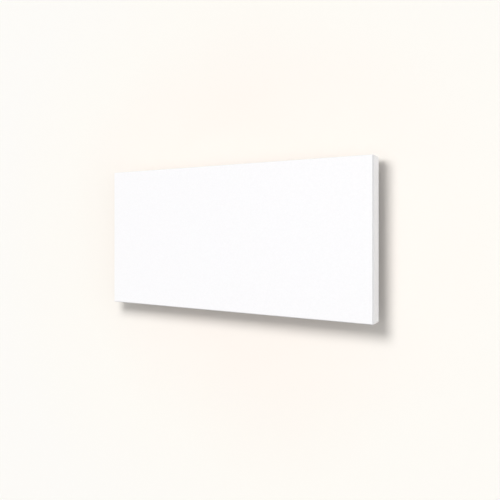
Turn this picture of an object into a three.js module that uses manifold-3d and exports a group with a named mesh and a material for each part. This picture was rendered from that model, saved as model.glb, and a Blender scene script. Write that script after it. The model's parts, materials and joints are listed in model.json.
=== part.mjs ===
// Infrared panel heater that hangs on a wall bracket, in millimetres.
// +X is the right of the panel as the room sees it, +Y points into the wall, and +Z is up.
// The origin lies on the wall plane, in the middle of the bracket's cross-bar.

import * as THREE from 'three';
import { mergeVertices } from 'three/addons/utils/BufferGeometryUtils.js';
import Module from 'manifold-3d';

const wasm = await Module();
wasm.setup();

// ---------------------------------------------------------------------------
// Driving dimensions
// ---------------------------------------------------------------------------

// Clearances.
const SEAT_GAP = 0.3; // between two faces that rest on each other
const HOLE_GAP = 0.3; // round a shank in its hole, on the radius
const FILM_MARGIN = 2; // from the heating stack to the edge of the tray's rear opening

// Case: a folded tray that faces the room.
const CASE_WIDTH = 600;
const CASE_HEIGHT = 295;
const CASE_DEPTH = 35;
const TRAY_SHEET = 1;
const FOLD_RADIUS = 2;
const FLANGE_WIDTH = 16;
const MITRE_SLIT = 1;

// Rear cover with half-round stiffening beads pressed towards the room.
const COVER_SHEET = 0.8;
const COVER_INSET = 2.5;
const BEAD_DEPTH = 4;
const BEAD_CREST = 4;
const BEAD_FLANK = 6;
const BEAD_ROW_OFFSET = 30;
const BEAD_END_MARGIN = 20;
const COVER_SCREW_CORNER = 50;
const COVER_SCREW_RADIUS = 1.6;
const COVER_SCREW_HEAD_RADIUS = 3.3;
const COVER_SCREW_HEAD = 2;
const COVER_SCREW_LENGTH = 8;

// Shape of every pan-head screw, as shares of its own radius and head height.
const SCREW_POINT = 0.5;
const PAN_CROWN = 0.75;
const PAN_EDGE = 0.5;

// Heating stack behind the front sheet.
const FILM_THICKNESS = 0.5;
const FILM_CORNER = 6;
const TRACK_THICKNESS = 0.4;
const TRACK_WIDTH = 13;
const TRACK_PITCH = 18;
const TRACK_RUNS = 30;
const TRACK_EDGE = 6;
const FOIL_THICKNESS = 0.4;
const TAB_OFFSET = 17;
const TAB_SHEET = 0.8;
const TAB_WIDTH = 6.3;
const TAB_FOOT = 9;
const TAB_HEIGHT = 9;
const TAB_BEND = 1.2;
const WINDOW_MARGIN = 2.5;

// Thermal cut-out and its strap.
const CUTOUT_OFFSET_X = -10;
const CUTOUT_OFFSET_Z = 3;
const CUTOUT_CAP_RADIUS = 7.5;
const CUTOUT_CAP = 3;
const CUTOUT_BODY_RADIUS = 8;
const CUTOUT_BODY = 6.5;
const BLADE_OFFSET = 4.2;
const BLADE_SHEET = 0.8;
const BLADE_WIDTH = 6.3;
const BLADE_LENGTH = 8;
const STRAP_SHEET = 0.8;
const STRAP_WIDTH = 5;
const STRAP_FOOT = 6;
const STRAP_BEND = 1.4;

// Terminal box on the rear cover. The inlet nut sets its depth, and so the gap to the wall.
const CABLE_BORE_RADIUS = 3.25;
const SEAL_WALL = 1.4;
const SPIGOT_WALL = 1;
const NUT_WALL = 1.25;
const NUT_BOX_MARGIN = 0.85;
const SPIGOT_LENGTH = 10;
const NUT_DOME = 4;
const NUT_LIP = 1.5;
const DOME_CROWN = 0.72; // flat of the dome's end, as a share of the nut
const DOME_SHOULDER = 0.93; // and where the dome starts to round
const DOME_SHOULDER_RISE = 0.4;
const BOX_WIDTH = 70;
const BOX_HEIGHT = 50;
const BOX_CORNER = 4;
const BOX_WALL = 2;
const LID_SHEET = 2;
const LID_LIP = 1.5;
const LID_LIP_WALL = 1.2;
const BOX_WALL_CLEARANCE = 3;
const BOX_ABOVE_EDGE = 27.5;
const BOSS_RADIUS = 3.5;
const LID_SCREW_RADIUS = 1.5;
const LID_SCREW_HEAD_RADIUS = 2.8;
const LID_SCREW_HEAD = 1.4;
const LID_SCREW_REACH = 2.5;

// Terminal block, with two poles and two screws to a pole.
const BLOCK_OFFSET_X = -9;
const BLOCK_OFFSET_Z = 1;
const POLE_PITCH = 10;
const BLOCK_LENGTH = 18;
const BLOCK_LID_CLEARANCE = 3;
const BLOCK_WEB = 4.5;
const BLOCK_EDGE = 0.5;
const WIRE_BORE_RADIUS = 1.6;
const WIRE_BORE_HEIGHT = 3.2;
const BLOCK_SCREW_SPACING = 9;
const BLOCK_SCREW_RADIUS = 1.5;
const BLOCK_SCREW_INSET = 1.2;
const GRUB_POINT = 0.6; // flat of the point, as a share of the screw's radius
const GRUB_TAPER = 0.5;

// Leads, their grommet, and the earth stud.
const LEAD_RADIUS = 1.2;
const LEAD_SPREAD = 1.5;
const LEAD_EASE = 2; // smallest step aside between two points of a lead
const LEAD_OUT = 3; // straight out of a blade
const LEAD_UP = 5; // straight out of a tab
const LIVE_TURN = 4;
const LIVE_LEVEL = 2;
const NEUTRAL_TURN = 5;
const NEUTRAL_LEVEL = 6;
const GROMMET_OFFSET_X = 15;
const GROMMET_OFFSET_Z = 10;
const GROMMET_RADIUS = 7;
const GROMMET_NECK_RADIUS = 5;
const GROMMET_BORE_RADIUS = 3.5;
const GROMMET_FLANGE = 1.2;
const EARTH_OFFSET_X = 15;
const EARTH_OFFSET_Z = -11;
const EARTH_RADIUS = 2;
const EARTH_HEAD_RADIUS = 4;
const EARTH_HEAD = 1.5;
const EARTH_LENGTH = 8;
const EARTH_WASHER_RADIUS = 4.5;
const EARTH_WASHER = 0.8;
const EARTH_NUT_FLAT = 7;
const EARTH_NUT = 3.2;

// Hanging studs on the panel, and the keyholes that take them.
const STUD_SPACING_X = 400;
const STUD_SPACING_Z = 120;
const STUD_HEAD_RADIUS = 5.5;
const STUD_HEAD = 2.5;
const STUD_CROWN = 0.85; // flat of the head, as a share of its radius
const STUD_EDGE = 0.7; // height of the head's edge, as a share of its height
const STUD_NECK_RADIUS = 3;
const STUD_THREAD_RADIUS = 2.5;
const STUD_NUT_FLAT = 8;
const STUD_NUT = 4;
const STUD_TAIL = 1.2;
const SPACER_RADIUS = 6;
const SPACER_LENGTH = 3.4;
const LIFT_TRAVEL = 10;
const KEYHOLE_GAP = 0.8;

// Wall bracket: two folded rails and a stepped cross-bar.
const RAIL_LENGTH = 200;
const RAIL_WEB = 36;
const RAIL_FOOT = 14;
const RAIL_SHEET = 1.5;
const RAIL_BEND = 2.5;
const RAIL_HOLE_RADIUS = 2.75;
const RAIL_HOLE_END = 15;
const RAIL_SLOT_LENGTH = 10;
const BAR_HEIGHT = 30;
const BAR_OVERLAP = 10;
const BAR_STEP = 3;
const BAR_EDGE_GAP = 0.5;
const BAR_SLOT_OFFSET = 90;
const RIVET_SPACING = 16;
const RIVET_RADIUS = 1.6;
const RIVET_HEAD_RADIUS = 3.4;
const RIVET_HEAD = 1.2;
const RIVET_CROWN = 0.5; // flat of the head, as a share of its radius
const RIVET_SHOULDER = 0.88;
const RIVET_EDGE = 0.55; // height of the shoulder, as a share of the head's

// Fineness of round shapes.
const ROUND_STEPS = 16;
const SMALL_STEPS = 12;
const BEND_STEPS = 3;
const CORNER_STEPS = 2;
const SLOT_STEPS = 5;
const LEAD_SIDES = 8;
const LEAD_STEPS = 24;
const BEAD_STEPS = 3;

// ---------------------------------------------------------------------------
// Sizes and places that follow
// ---------------------------------------------------------------------------

// Inlet, from the bore outwards.
const sealRadius = CABLE_BORE_RADIUS + SEAL_WALL;
const spigotBore = sealRadius + HOLE_GAP;
const spigotRadius = spigotBore + SPIGOT_WALL;
const nutBore = spigotRadius + HOLE_GAP;
const nutHalfFlat = nutBore + NUT_WALL;

// Planes across the depth, from the wall (y = 0) towards the room.
const boxTotal = 2 * (nutHalfFlat + NUT_BOX_MARGIN);
const boxDepth = boxTotal - SEAT_GAP - LID_SHEET;
const wallGap = BOX_WALL_CLEARANCE + boxTotal + SEAT_GAP;
const coverBackY = -wallGap;
const coverFrontY = coverBackY - COVER_SHEET;
const trayBackY = coverFrontY - SEAT_GAP;
const trayFrontY = trayBackY - CASE_DEPTH;
const frontFilmY = trayFrontY + TRAY_SHEET + SEAT_GAP + FILM_THICKNESS;
const trackY = frontFilmY + SEAT_GAP + TRACK_THICKNESS;
const rearFilmY = trackY + SEAT_GAP + FILM_THICKNESS;
const foilY = rearFilmY + SEAT_GAP + FOIL_THICKNESS;
const boardFrontY = foilY + SEAT_GAP;
const boardBackY = coverFrontY - BEAD_DEPTH - SEAT_GAP;
const boxFloorY = coverBackY + SEAT_GAP;
const boxInsideY = boxFloorY + BOX_WALL;
const boxRimY = boxFloorY + boxDepth;
const lidInsideY = boxRimY + SEAT_GAP;
const lidBackY = lidInsideY + LID_SHEET;
const inletY = (boxFloorY + lidBackY) / 2;
const spacerFrontY = coverBackY + SEAT_GAP;
const railWebY = spacerFrontY + SPACER_LENGTH + SEAT_GAP;
const railWebBackY = railWebY + RAIL_SHEET;
const studHeadY = railWebBackY + SEAT_GAP;
const barEndY = -RAIL_SHEET - SEAT_GAP;

// Openings, films and the terminal box, across the face.
const openingWidth = CASE_WIDTH - 2 * FLANGE_WIDTH;
const openingHeight = CASE_HEIGHT - 2 * FLANGE_WIDTH;
const filmWidth = openingWidth - 2 * FILM_MARGIN;
const filmHeight = openingHeight - 2 * FILM_MARGIN;
const caseBottomZ = -CASE_HEIGHT / 2;
const boxBottomZ = caseBottomZ + BOX_ABOVE_EDGE;
const boxZ = boxBottomZ + BOX_HEIGHT / 2;
const trackLegZ = -filmHeight / 2 + TRACK_EDGE + TRACK_WIDTH / 2;
const railX = STUD_SPACING_X / 2;
const studZ = STUD_SPACING_Z / 2;
const bossX = BOX_WIDTH / 2 - BOSS_RADIUS;
const coverScrewInset = (FOLD_RADIUS + FLANGE_WIDTH) / 2;
const footEdge = RAIL_WEB / 2 + RAIL_FOOT;
const footMiddle = RAIL_WEB / 2 + RAIL_BEND + (RAIL_FOOT - RAIL_BEND) / 2;
const rivetX = railX - footMiddle;

// Service window in the foil and the board, behind the terminal box, down to the tabs.
const windowTop = boxZ + BOX_HEIGHT / 2;
const windowBottom = trackLegZ - TAB_FOOT / 2 - WINDOW_MARGIN;
const windowWidth = BOX_WIDTH;

// Heights of the inlet's ends, below the terminal box.
const spigotEndZ = boxBottomZ - SPIGOT_LENGTH;
const sealEndZ = spigotEndZ - SEAT_GAP - SEAL_WALL;
const nutEndZ = sealEndZ - SEAT_GAP - NUT_LIP;

// ---------------------------------------------------------------------------
// Materials
// ---------------------------------------------------------------------------

const material = (color, roughness, metalness) =>
  new THREE.MeshStandardMaterial({ color, roughness, metalness });

const powderWhite = material(0xfcfbfc, 0.6, 0);
const galvanised = material(0xb4b8bb, 0.42, 0.9);
const zincPlated = material(0xc9cdd2, 0.3, 1);
const bracketSteel = material(0xe4e4e2, 0.5, 0.1);
const filmAmber = material(0xb5741f, 0.35, 0);
const trackFoil = material(0xa9a6a0, 0.35, 1);
const brightFoil = material(0xdfe2e5, 0.2, 1);
const brass = material(0xc9a24b, 0.32, 1);
const mineralBoard = material(0xc7b27a, 0.95, 0);
const phenolic = material(0x2a2522, 0.5, 0);
const boxPlastic = material(0x2f3133, 0.55, 0);
const blockNylon = material(0xe9e6dc, 0.5, 0);
const sealRubber = material(0x1c1c1c, 0.85, 0);
const leadBrown = material(0x6b3a1e, 0.6, 0);
const leadBlue = material(0x2c5fa8, 0.6, 0);

// ---------------------------------------------------------------------------
// Making, cutting and joining closed shapes
// ---------------------------------------------------------------------------

const X_AXIS = new THREE.Vector3(1, 0, 0);
const Y_AXIS = new THREE.Vector3(0, 1, 0);
const Z_AXIS = new THREE.Vector3(0, 0, 1);
const ROOMWARDS = new THREE.Vector3(0, -1, 0);

const MERGE_DISTANCE = 1e-4;

// Closed solid of a geometry whose shared corners are merged and slivers dropped.
function solidOf(geometry) {
  const bare = geometry.clone();
  bare.deleteAttribute('normal');
  bare.deleteAttribute('uv');
  const merged = mergeVertices(bare, MERGE_DISTANCE);
  const kept = [];
  const index = merged.index.array;
  for (let i = 0; i < index.length; i += 3) {
    const [a, b, c] = index.slice(i, i + 3);
    if (a !== b && b !== c && c !== a) kept.push(a, b, c);
  }
  const vertProperties = merged.attributes.position.array;
  return new wasm.Manifold(
    new wasm.Mesh({ numProp: 3, vertProperties, triVerts: new Uint32Array(kept) }));
}

// Flat-shaded geometry of a solid.
function geometryOf(solid) {
  const mesh = solid.getMesh();
  const geometry = new THREE.BufferGeometry();
  geometry.setAttribute('position', new THREE.BufferAttribute(mesh.vertProperties, 3));
  geometry.setIndex(new THREE.BufferAttribute(mesh.triVerts, 1));
  const faceted = geometry.toNonIndexed();
  faceted.computeVertexNormals();
  return faceted;
}

function cut(body, ...tools) {
  const less = (solid, tool) => solid.subtract(solidOf(tool));
  return geometryOf(tools.reduce(less, solidOf(body)));
}

function join(body, ...more) {
  const plus = (solid, piece) => solid.add(solidOf(piece));
  return geometryOf(more.reduce(plus, solidOf(body)));
}

function common(body, other) {
  return geometryOf(solidOf(body).intersect(solidOf(other)));
}

// Outline (x, z), filled from y = back towards the room.
function plate(shape, back, thickness, curveSegments = CORNER_STEPS) {
  const turn = new THREE.Matrix4().makeBasis(X_AXIS, Z_AXIS, ROOMWARDS);
  const settings = { depth: thickness, bevelEnabled: false, curveSegments };
  return new THREE.ExtrudeGeometry(shape, settings).applyMatrix4(turn).translate(0, back, 0);
}

// Outline (x, y), pushed upwards and centred on z = middle.
function upright(shape, height, middle = 0, curveSegments = CORNER_STEPS) {
  const settings = { depth: height, bevelEnabled: false, curveSegments };
  return new THREE.ExtrudeGeometry(shape, settings).translate(0, 0, middle - height / 2);
}

// Outline (y, z), pushed sideways and centred on x = 0.
function sideways(shape, width) {
  const turn = new THREE.Matrix4().makeBasis(Y_AXIS, Z_AXIS, X_AXIS);
  const settings = { depth: width, bevelEnabled: false, curveSegments: CORNER_STEPS };
  return new THREE.ExtrudeGeometry(shape, settings).applyMatrix4(turn).translate(-width / 2, 0, 0);
}

// Round piece about the Y axis, from (radius, y) points that run towards +Y.
function turned(points, steps = ROUND_STEPS) {
  const profile = points.map(([radius, y]) => new THREE.Vector2(radius, y));
  return new THREE.LatheGeometry(profile, steps);
}

// The same about the Z axis, from (radius, z) points that run upwards.
function turnedUpright(points) {
  const turn = new THREE.Matrix4().makeBasis(X_AXIS, Z_AXIS, ROOMWARDS);
  return turned(points).applyMatrix4(turn);
}

// Cylinder along Y, from y = from to y = to.
function drill(radius, from, to, x = 0, z = 0, steps = SMALL_STEPS) {
  const tool = new THREE.CylinderGeometry(radius, radius, to - from, steps);
  return tool.translate(x, (from + to) / 2, z);
}

// Cylinder along Z, from z = from to z = to.
function drillUpright(radius, from, to, x = 0, y = 0) {
  const turn = new THREE.Matrix4().makeBasis(X_AXIS, Z_AXIS, ROOMWARDS);
  return drill(radius, from, to, 0, 0, ROUND_STEPS).applyMatrix4(turn).translate(x, y, 0);
}

function block(width, depth, height, x, y, z) {
  return new THREE.BoxGeometry(width, depth, height).translate(x, y, z);
}

// ---------------------------------------------------------------------------
// Outlines
// ---------------------------------------------------------------------------

function roundedRectangle(width, height, radius, x = 0, y = 0) {
  const shape = new THREE.Shape();
  const right = x + width / 2 - radius;
  const left = x - width / 2 + radius;
  const top = y + height / 2 - radius;
  const bottom = y - height / 2 + radius;
  shape.absarc(right, top, radius, 0, Math.PI / 2);
  shape.absarc(left, top, radius, Math.PI / 2, Math.PI);
  shape.absarc(left, bottom, radius, Math.PI, 1.5 * Math.PI);
  shape.absarc(right, bottom, radius, 1.5 * Math.PI, 2 * Math.PI);
  return shape;
}

// Stadium that lies along the outline's first axis.
function slotOutline(length, radius, x = 0, y = 0) {
  const shape = new THREE.Shape();
  const half = length / 2 - radius;
  shape.absarc(x + half, y, radius, -Math.PI / 2, Math.PI / 2);
  shape.absarc(x - half, y, radius, Math.PI / 2, 1.5 * Math.PI);
  return shape;
}

function hexOutline(flat) {
  const shape = new THREE.Shape();
  const corner = flat / Math.sqrt(3);
  for (let i = 0; i < 6; i += 1) {
    const angle = (i * Math.PI) / 3;
    const point = [corner * Math.cos(angle), corner * Math.sin(angle)];
    if (i === 0) shape.moveTo(...point);
    else shape.lineTo(...point);
  }
  return shape;
}

// Keyhole: a slot that the neck rests in, and above it a round end that passes the head.
function keyholeOutline(x, z) {
  const slotRadius = STUD_NECK_RADIUS + HOLE_GAP;
  const headRadius = STUD_HEAD_RADIUS + KEYHOLE_GAP;
  const meet = Math.asin(slotRadius / headRadius);
  const shape = new THREE.Shape();
  shape.absarc(x, z, slotRadius, Math.PI, 2 * Math.PI);
  shape.absarc(x, z + LIFT_TRAVEL, headRadius, meet - Math.PI / 2, 1.5 * Math.PI - meet);
  return shape;
}

// Strip of even width whose centre line runs through the corners, each rounded to one radius.
function stripOutline(corners, radius, width) {
  const points = corners.map(([x, y]) => new THREE.Vector2(x, y));
  const left = [];
  const right = [];
  const note = (centre, normal) => {
    left.push(centre.clone().addScaledVector(normal, width / 2));
    right.push(centre.clone().addScaledVector(normal, -width / 2));
  };
  const normalOf = (from, to) => {
    const along = to.clone().sub(from).normalize();
    return new THREE.Vector2(-along.y, along.x);
  };
  note(points[0], normalOf(points[0], points[1]));
  for (let i = 1; i < points.length - 1; i += 1) {
    const before = points[i].clone().sub(points[i - 1]).normalize();
    const after = points[i + 1].clone().sub(points[i]).normalize();
    const turn = Math.atan2(before.cross(after), before.dot(after));
    const side = Math.sign(turn);
    const start = points[i].clone().addScaledVector(before, -radius * Math.tan(Math.abs(turn) / 2));
    const normal = new THREE.Vector2(-before.y, before.x);
    const centre = start.clone().addScaledVector(normal, side * radius);
    for (let step = 0; step <= BEND_STEPS; step += 1) {
      const here = normal.clone().rotateAround(new THREE.Vector2(), (turn * step) / BEND_STEPS);
      note(centre.clone().addScaledVector(here, -side * radius), here);
    }
  }
  const last = points.length - 1;
  note(points[last], normalOf(points[last - 1], points[last]));
  const outline = [...left, ...right.reverse()];
  const apart = (point, i) => point.distanceTo(outline.at(i - 1)) > MERGE_DISTANCE;
  return new THREE.Shape(outline.filter(apart));
}

// ---------------------------------------------------------------------------
// Case
// ---------------------------------------------------------------------------

// Box with rounded folds along all its front and back edges, and mitred at the corners.
function foldedBox(width, depth, height, radius, middleY) {
  const plan = roundedRectangle(width, depth, radius, 0, middleY);
  const section = roundedRectangle(depth, height, radius, middleY, 0);
  return common(upright(plan, height), sideways(section, width));
}

// Flat ring, from y = back towards the room.
function ringPlate(outerRadius, boreRadius, back, thickness) {
  return turned([
    [boreRadius, back - thickness],
    [outerRadius, back - thickness],
    [outerRadius, back],
    [boreRadius, back],
    [boreRadius, back - thickness],
  ]);
}

// Hexagon nut, from y = back towards the room.
function hexNut(flat, boreRadius, back, thickness) {
  const bore = drill(boreRadius, back - 2 * thickness, back + thickness);
  return cut(plate(hexOutline(flat), back, thickness), bore);
}

function coverScrewPlaces() {
  const x = CASE_WIDTH / 2 - COVER_SCREW_CORNER;
  const sideX = CASE_WIDTH / 2 - coverScrewInset;
  const z = CASE_HEIGHT / 2 - coverScrewInset;
  const topAndBottom = [-x, 0, x].flatMap((along) => [[along, z], [along, -z]]);
  return [...topAndBottom, [-sideX, 0], [sideX, 0]];
}

// Slit where two return flanges meet, on the diagonal of a corner.
function mitreSlit(sideX, sideZ) {
  const reach = Math.SQRT2 * (FLANGE_WIDTH - FOLD_RADIUS);
  const depth = 2 * TRAY_SHEET;
  const slit = new THREE.BoxGeometry(2 * reach, depth, MITRE_SLIT);
  slit.rotateY((-sideX * sideZ * Math.PI) / 4);
  const x = sideX * (openingWidth / 2);
  const z = sideZ * (openingHeight / 2);
  return slit.translate(x, trayBackY - TRAY_SHEET / 2, z);
}

function frontTray() {
  const middleY = trayBackY - CASE_DEPTH / 2;
  const outside = foldedBox(CASE_WIDTH, CASE_DEPTH, CASE_HEIGHT, FOLD_RADIUS, middleY);
  const lining = 2 * TRAY_SHEET;
  const inside = foldedBox(CASE_WIDTH - lining, CASE_DEPTH - lining, CASE_HEIGHT - lining,
    FOLD_RADIUS - TRAY_SHEET, middleY);
  const opening = block(openingWidth, 4 * TRAY_SHEET, openingHeight, 0, trayBackY, 0);
  const holeRadius = COVER_SCREW_RADIUS + HOLE_GAP;
  const holes = coverScrewPlaces().map(([x, z]) =>
    drill(holeRadius, trayBackY - 2 * TRAY_SHEET, trayBackY + TRAY_SHEET, x, z));
  const slits = [[1, 1], [-1, 1], [-1, -1], [1, -1]].map(([x, z]) => mitreSlit(x, z));
  return cut(outside, inside, opening, ...slits, ...holes);
}

// Half-round bead: its crest line widened by rounded flanks.
function beadTool(from, to, z, shift, depth) {
  const length = to - from - 2 * BEAD_FLANK;
  const crest = slotOutline(length, BEAD_CREST / 2, (from + to) / 2, z);
  const settings = {
    depth,
    bevelThickness: BEAD_DEPTH,
    bevelSize: BEAD_FLANK,
    bevelSegments: BEAD_STEPS,
    curveSegments: CORNER_STEPS + 1,
  };
  const turn = new THREE.Matrix4().makeBasis(X_AXIS, Z_AXIS, ROOMWARDS);
  const tool = new THREE.ExtrudeGeometry(crest, settings).applyMatrix4(turn);
  return tool.translate(0, coverFrontY + depth + shift, 0);
}

function beadPlaces() {
  const end = openingWidth / 2 - BEAD_END_MARGIN;
  const row = studZ + BEAD_ROW_OFFSET;
  const inner = windowWidth / 2 + BEAD_END_MARGIN;
  return [[-end, end, row], [-end, end, 0], [-end, -inner, -row], [inner, end, -row]];
}

function rearCover() {
  const width = CASE_WIDTH - 2 * COVER_INSET;
  const height = CASE_HEIGHT - 2 * COVER_INSET;
  const sheet = plate(roundedRectangle(width, height, FOLD_RADIUS), coverBackY, COVER_SHEET);
  const beads = beadPlaces().map((place) => beadTool(...place, 0, COVER_SHEET));
  const hollows = beadPlaces().map((place) => beadTool(...place, COVER_SHEET, 2 * BEAD_DEPTH));
  const beyond = block(2 * width, 4 * BEAD_DEPTH, 2 * height, 0, coverBackY + 2 * BEAD_DEPTH, 0);
  const through = (radius, x, z) =>
    drill(radius, coverFrontY - COVER_SHEET, coverBackY + COVER_SHEET, x, z);
  const holes = [
    ...coverScrewPlaces().map(([x, z]) => through(COVER_SCREW_RADIUS + HOLE_GAP, x, z)),
    ...studPlaces().map(([x, z]) => through(STUD_THREAD_RADIUS + HOLE_GAP, x, z)),
    through(LID_SCREW_RADIUS + HOLE_GAP, -bossX, boxZ),
    through(LID_SCREW_RADIUS + HOLE_GAP, bossX, boxZ),
    through(GROMMET_NECK_RADIUS + HOLE_GAP, GROMMET_OFFSET_X, boxZ + GROMMET_OFFSET_Z),
    through(EARTH_RADIUS + HOLE_GAP, EARTH_OFFSET_X, boxZ + EARTH_OFFSET_Z),
  ];
  return cut(join(sheet, ...beads), beyond, ...hollows, ...holes);
}

// Pan-head screw that points towards the room; its head rests on y = seat.
function panScrew(radius, headRadius, head, seat, length) {
  return turned([
    [0, seat - length],
    [radius * SCREW_POINT, seat - length],
    [radius, seat - length + radius],
    [radius, seat],
    [headRadius, seat],
    [headRadius, seat + head * PAN_EDGE],
    [headRadius * PAN_CROWN, seat + head],
    [0, seat + head],
  ], SMALL_STEPS);
}

function coverScrew() {
  const seat = coverBackY + SEAT_GAP;
  return panScrew(COVER_SCREW_RADIUS, COVER_SCREW_HEAD_RADIUS, COVER_SCREW_HEAD, seat,
    COVER_SCREW_LENGTH);
}

// ---------------------------------------------------------------------------
// Heating stack
// ---------------------------------------------------------------------------

function filmOutline() {
  return roundedRectangle(filmWidth, filmHeight, FILM_CORNER);
}

function frontFilm() {
  return plate(filmOutline(), frontFilmY, FILM_THICKNESS);
}

// Meander of upright runs, with a leg along the bottom from each end back to the middle.
function heatingTrack() {
  const firstX = (-(TRACK_RUNS - 1) / 2) * TRACK_PITCH;
  const top = filmHeight / 2 - TRACK_EDGE - TRACK_WIDTH / 2;
  const low = trackLegZ + TRACK_PITCH;
  const innerEnd = TAB_OFFSET - TAB_WIDTH;
  const corners = [[-innerEnd, trackLegZ], [firstX, trackLegZ]];
  for (let run = 0; run < TRACK_RUNS; run += 1) {
    const x = firstX + run * TRACK_PITCH;
    const turnZ = run % 2 === 0 ? top : low;
    if (run > 0) corners.push([x, run % 2 === 0 ? low : top]);
    if (run < TRACK_RUNS - 1) corners.push([x, turnZ]);
  }
  corners.push([-firstX, trackLegZ], [innerEnd, trackLegZ]);
  return plate(stripOutline(corners, TRACK_PITCH / 2, TRACK_WIDTH), trackY, TRACK_THICKNESS);
}

function rearFilm() {
  const film = plate(filmOutline(), rearFilmY, FILM_THICKNESS);
  const width = TAB_WIDTH + 2 * WINDOW_MARGIN;
  const height = TAB_FOOT + 2 * WINDOW_MARGIN;
  const windows = [-TAB_OFFSET, TAB_OFFSET].map((x) =>
    block(width, 4 * FILM_THICKNESS, height, x, rearFilmY, trackLegZ));
  return cut(film, ...windows);
}

// Angle tab that stands on one end of the track.
function trackTab() {
  const foot = trackY + SEAT_GAP + TAB_SHEET / 2;
  const corners = [[foot, -TAB_FOOT / 2], [foot, TAB_FOOT / 2], [foot + TAB_HEIGHT, TAB_FOOT / 2]];
  return sideways(stripOutline(corners, TAB_BEND, TAB_SHEET), TAB_WIDTH);
}

function serviceWindow(back, thickness) {
  const middleZ = (windowTop + windowBottom) / 2;
  const outline = roundedRectangle(windowWidth, windowTop - windowBottom, FILM_CORNER, 0, middleZ);
  return plate(outline, back + thickness, 3 * thickness);
}

function reflectorFoil() {
  return cut(plate(filmOutline(), foilY, FOIL_THICKNESS), serviceWindow(foilY, FOIL_THICKNESS));
}

function insulationBoard() {
  const thickness = boardBackY - boardFrontY;
  const nutCorner = STUD_NUT_FLAT / Math.sqrt(3);
  const pockets = studPlaces().map(([x, z]) =>
    drill(nutCorner + WINDOW_MARGIN, boardFrontY - thickness, boardBackY + thickness, x, z));
  const board = plate(filmOutline(), boardBackY, thickness);
  return cut(board, serviceWindow(boardBackY, thickness), ...pockets);
}

const cutoutFootY = rearFilmY + SEAT_GAP;
const cutoutTopY = cutoutFootY + CUTOUT_CAP + CUTOUT_BODY;
const bladeTipY = cutoutTopY + BLADE_LENGTH;

// Snap-disc cut-out: metal cap against the film, moulded body, and two blades.
function thermalCutout() {
  const body = turned([
    [0, cutoutFootY],
    [CUTOUT_CAP_RADIUS, cutoutFootY],
    [CUTOUT_CAP_RADIUS, cutoutFootY + CUTOUT_CAP],
    [CUTOUT_BODY_RADIUS, cutoutFootY + CUTOUT_CAP],
    [CUTOUT_BODY_RADIUS, cutoutTopY],
    [0, cutoutTopY],
  ]);
  const blades = [-BLADE_OFFSET, BLADE_OFFSET].map((x) =>
    block(BLADE_SHEET, 2 * BLADE_LENGTH, BLADE_WIDTH, x, cutoutTopY, 0));
  const inside = block(4 * CUTOUT_BODY_RADIUS, 2 * BLADE_LENGTH, 4 * CUTOUT_BODY_RADIUS,
    0, cutoutFootY - BLADE_LENGTH, 0);
  return join(body, ...blades.map((blade) => cut(blade, inside)));
}

// Strap over the cut-out, between its blades, with both feet on the rear film.
function cutoutStrap() {
  const foot = cutoutFootY + STRAP_SHEET / 2;
  const crest = cutoutTopY + SEAT_GAP + STRAP_SHEET / 2;
  const leg = CUTOUT_BODY_RADIUS + HOLE_GAP + STRAP_SHEET / 2;
  const end = leg + STRAP_FOOT;
  const corners = [[foot, -end], [foot, -leg], [crest, -leg], [crest, leg], [foot, leg], [foot, end]];
  return sideways(stripOutline(corners, STRAP_BEND, STRAP_SHEET), STRAP_WIDTH);
}

// ---------------------------------------------------------------------------
// Terminal box
// ---------------------------------------------------------------------------

function boxOutline(shrink) {
  const radius = BOX_CORNER - shrink;
  return roundedRectangle(BOX_WIDTH - 2 * shrink, BOX_HEIGHT - 2 * shrink, radius, 0, boxZ);
}

function terminalBoxBase() {
  const shell = cut(plate(boxOutline(0), boxRimY, boxDepth),
    plate(boxOutline(BOX_WALL), boxRimY + BOX_WALL, boxDepth));
  const bosses = [-bossX, bossX].map((x) => drill(BOSS_RADIUS, boxFloorY, boxRimY, x, boxZ));
  const spigot = drillUpright(spigotRadius, spigotEndZ, boxBottomZ + BOX_WALL, 0, inletY);
  const bore = drillUpright(spigotBore, spigotEndZ - BOX_WALL, boxBottomZ + 2 * BOX_WALL, 0, inletY);
  const through = (radius, x, z) => drill(radius, boxFloorY - BOX_WALL, boxInsideY + BOX_WALL, x, z);
  const screwHole = (x) =>
    drill(LID_SCREW_RADIUS + HOLE_GAP, boxFloorY - BOX_WALL, boxRimY + BOX_WALL, x, boxZ);
  return cut(join(shell, ...bosses, spigot), bore, screwHole(-bossX), screwHole(bossX),
    through(GROMMET_NECK_RADIUS + HOLE_GAP, GROMMET_OFFSET_X, boxZ + GROMMET_OFFSET_Z),
    through(EARTH_WASHER_RADIUS + HOLE_GAP, EARTH_OFFSET_X, boxZ + EARTH_OFFSET_Z));
}

// Lid with a locating lip inside the walls, open where the bosses stand.
function terminalBoxLid() {
  const sheet = plate(boxOutline(0), lidBackY, LID_SHEET);
  const lipOutside = boxOutline(BOX_WALL + HOLE_GAP);
  const lipInside = boxOutline(BOX_WALL + HOLE_GAP + LID_LIP_WALL);
  const lip = cut(plate(lipOutside, lidInsideY, LID_LIP + SEAT_GAP),
    plate(lipInside, lidInsideY + LID_LIP, 4 * LID_LIP));
  const places = [-bossX, bossX];
  const reliefs = places.map((x) =>
    drill(BOSS_RADIUS + HOLE_GAP, lidInsideY - 2 * LID_LIP, lidInsideY, x, boxZ));
  const holes = places.map((x) =>
    drill(LID_SCREW_RADIUS + HOLE_GAP, lidInsideY - LID_SHEET, lidBackY + LID_SHEET, x, boxZ));
  return cut(join(sheet, cut(lip, ...reliefs)), ...holes);
}

function lidScrew() {
  const seat = lidBackY + SEAT_GAP;
  const length = seat - coverFrontY + LID_SCREW_REACH;
  return panScrew(LID_SCREW_RADIUS, LID_SCREW_HEAD_RADIUS, LID_SCREW_HEAD, seat, length);
}

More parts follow.
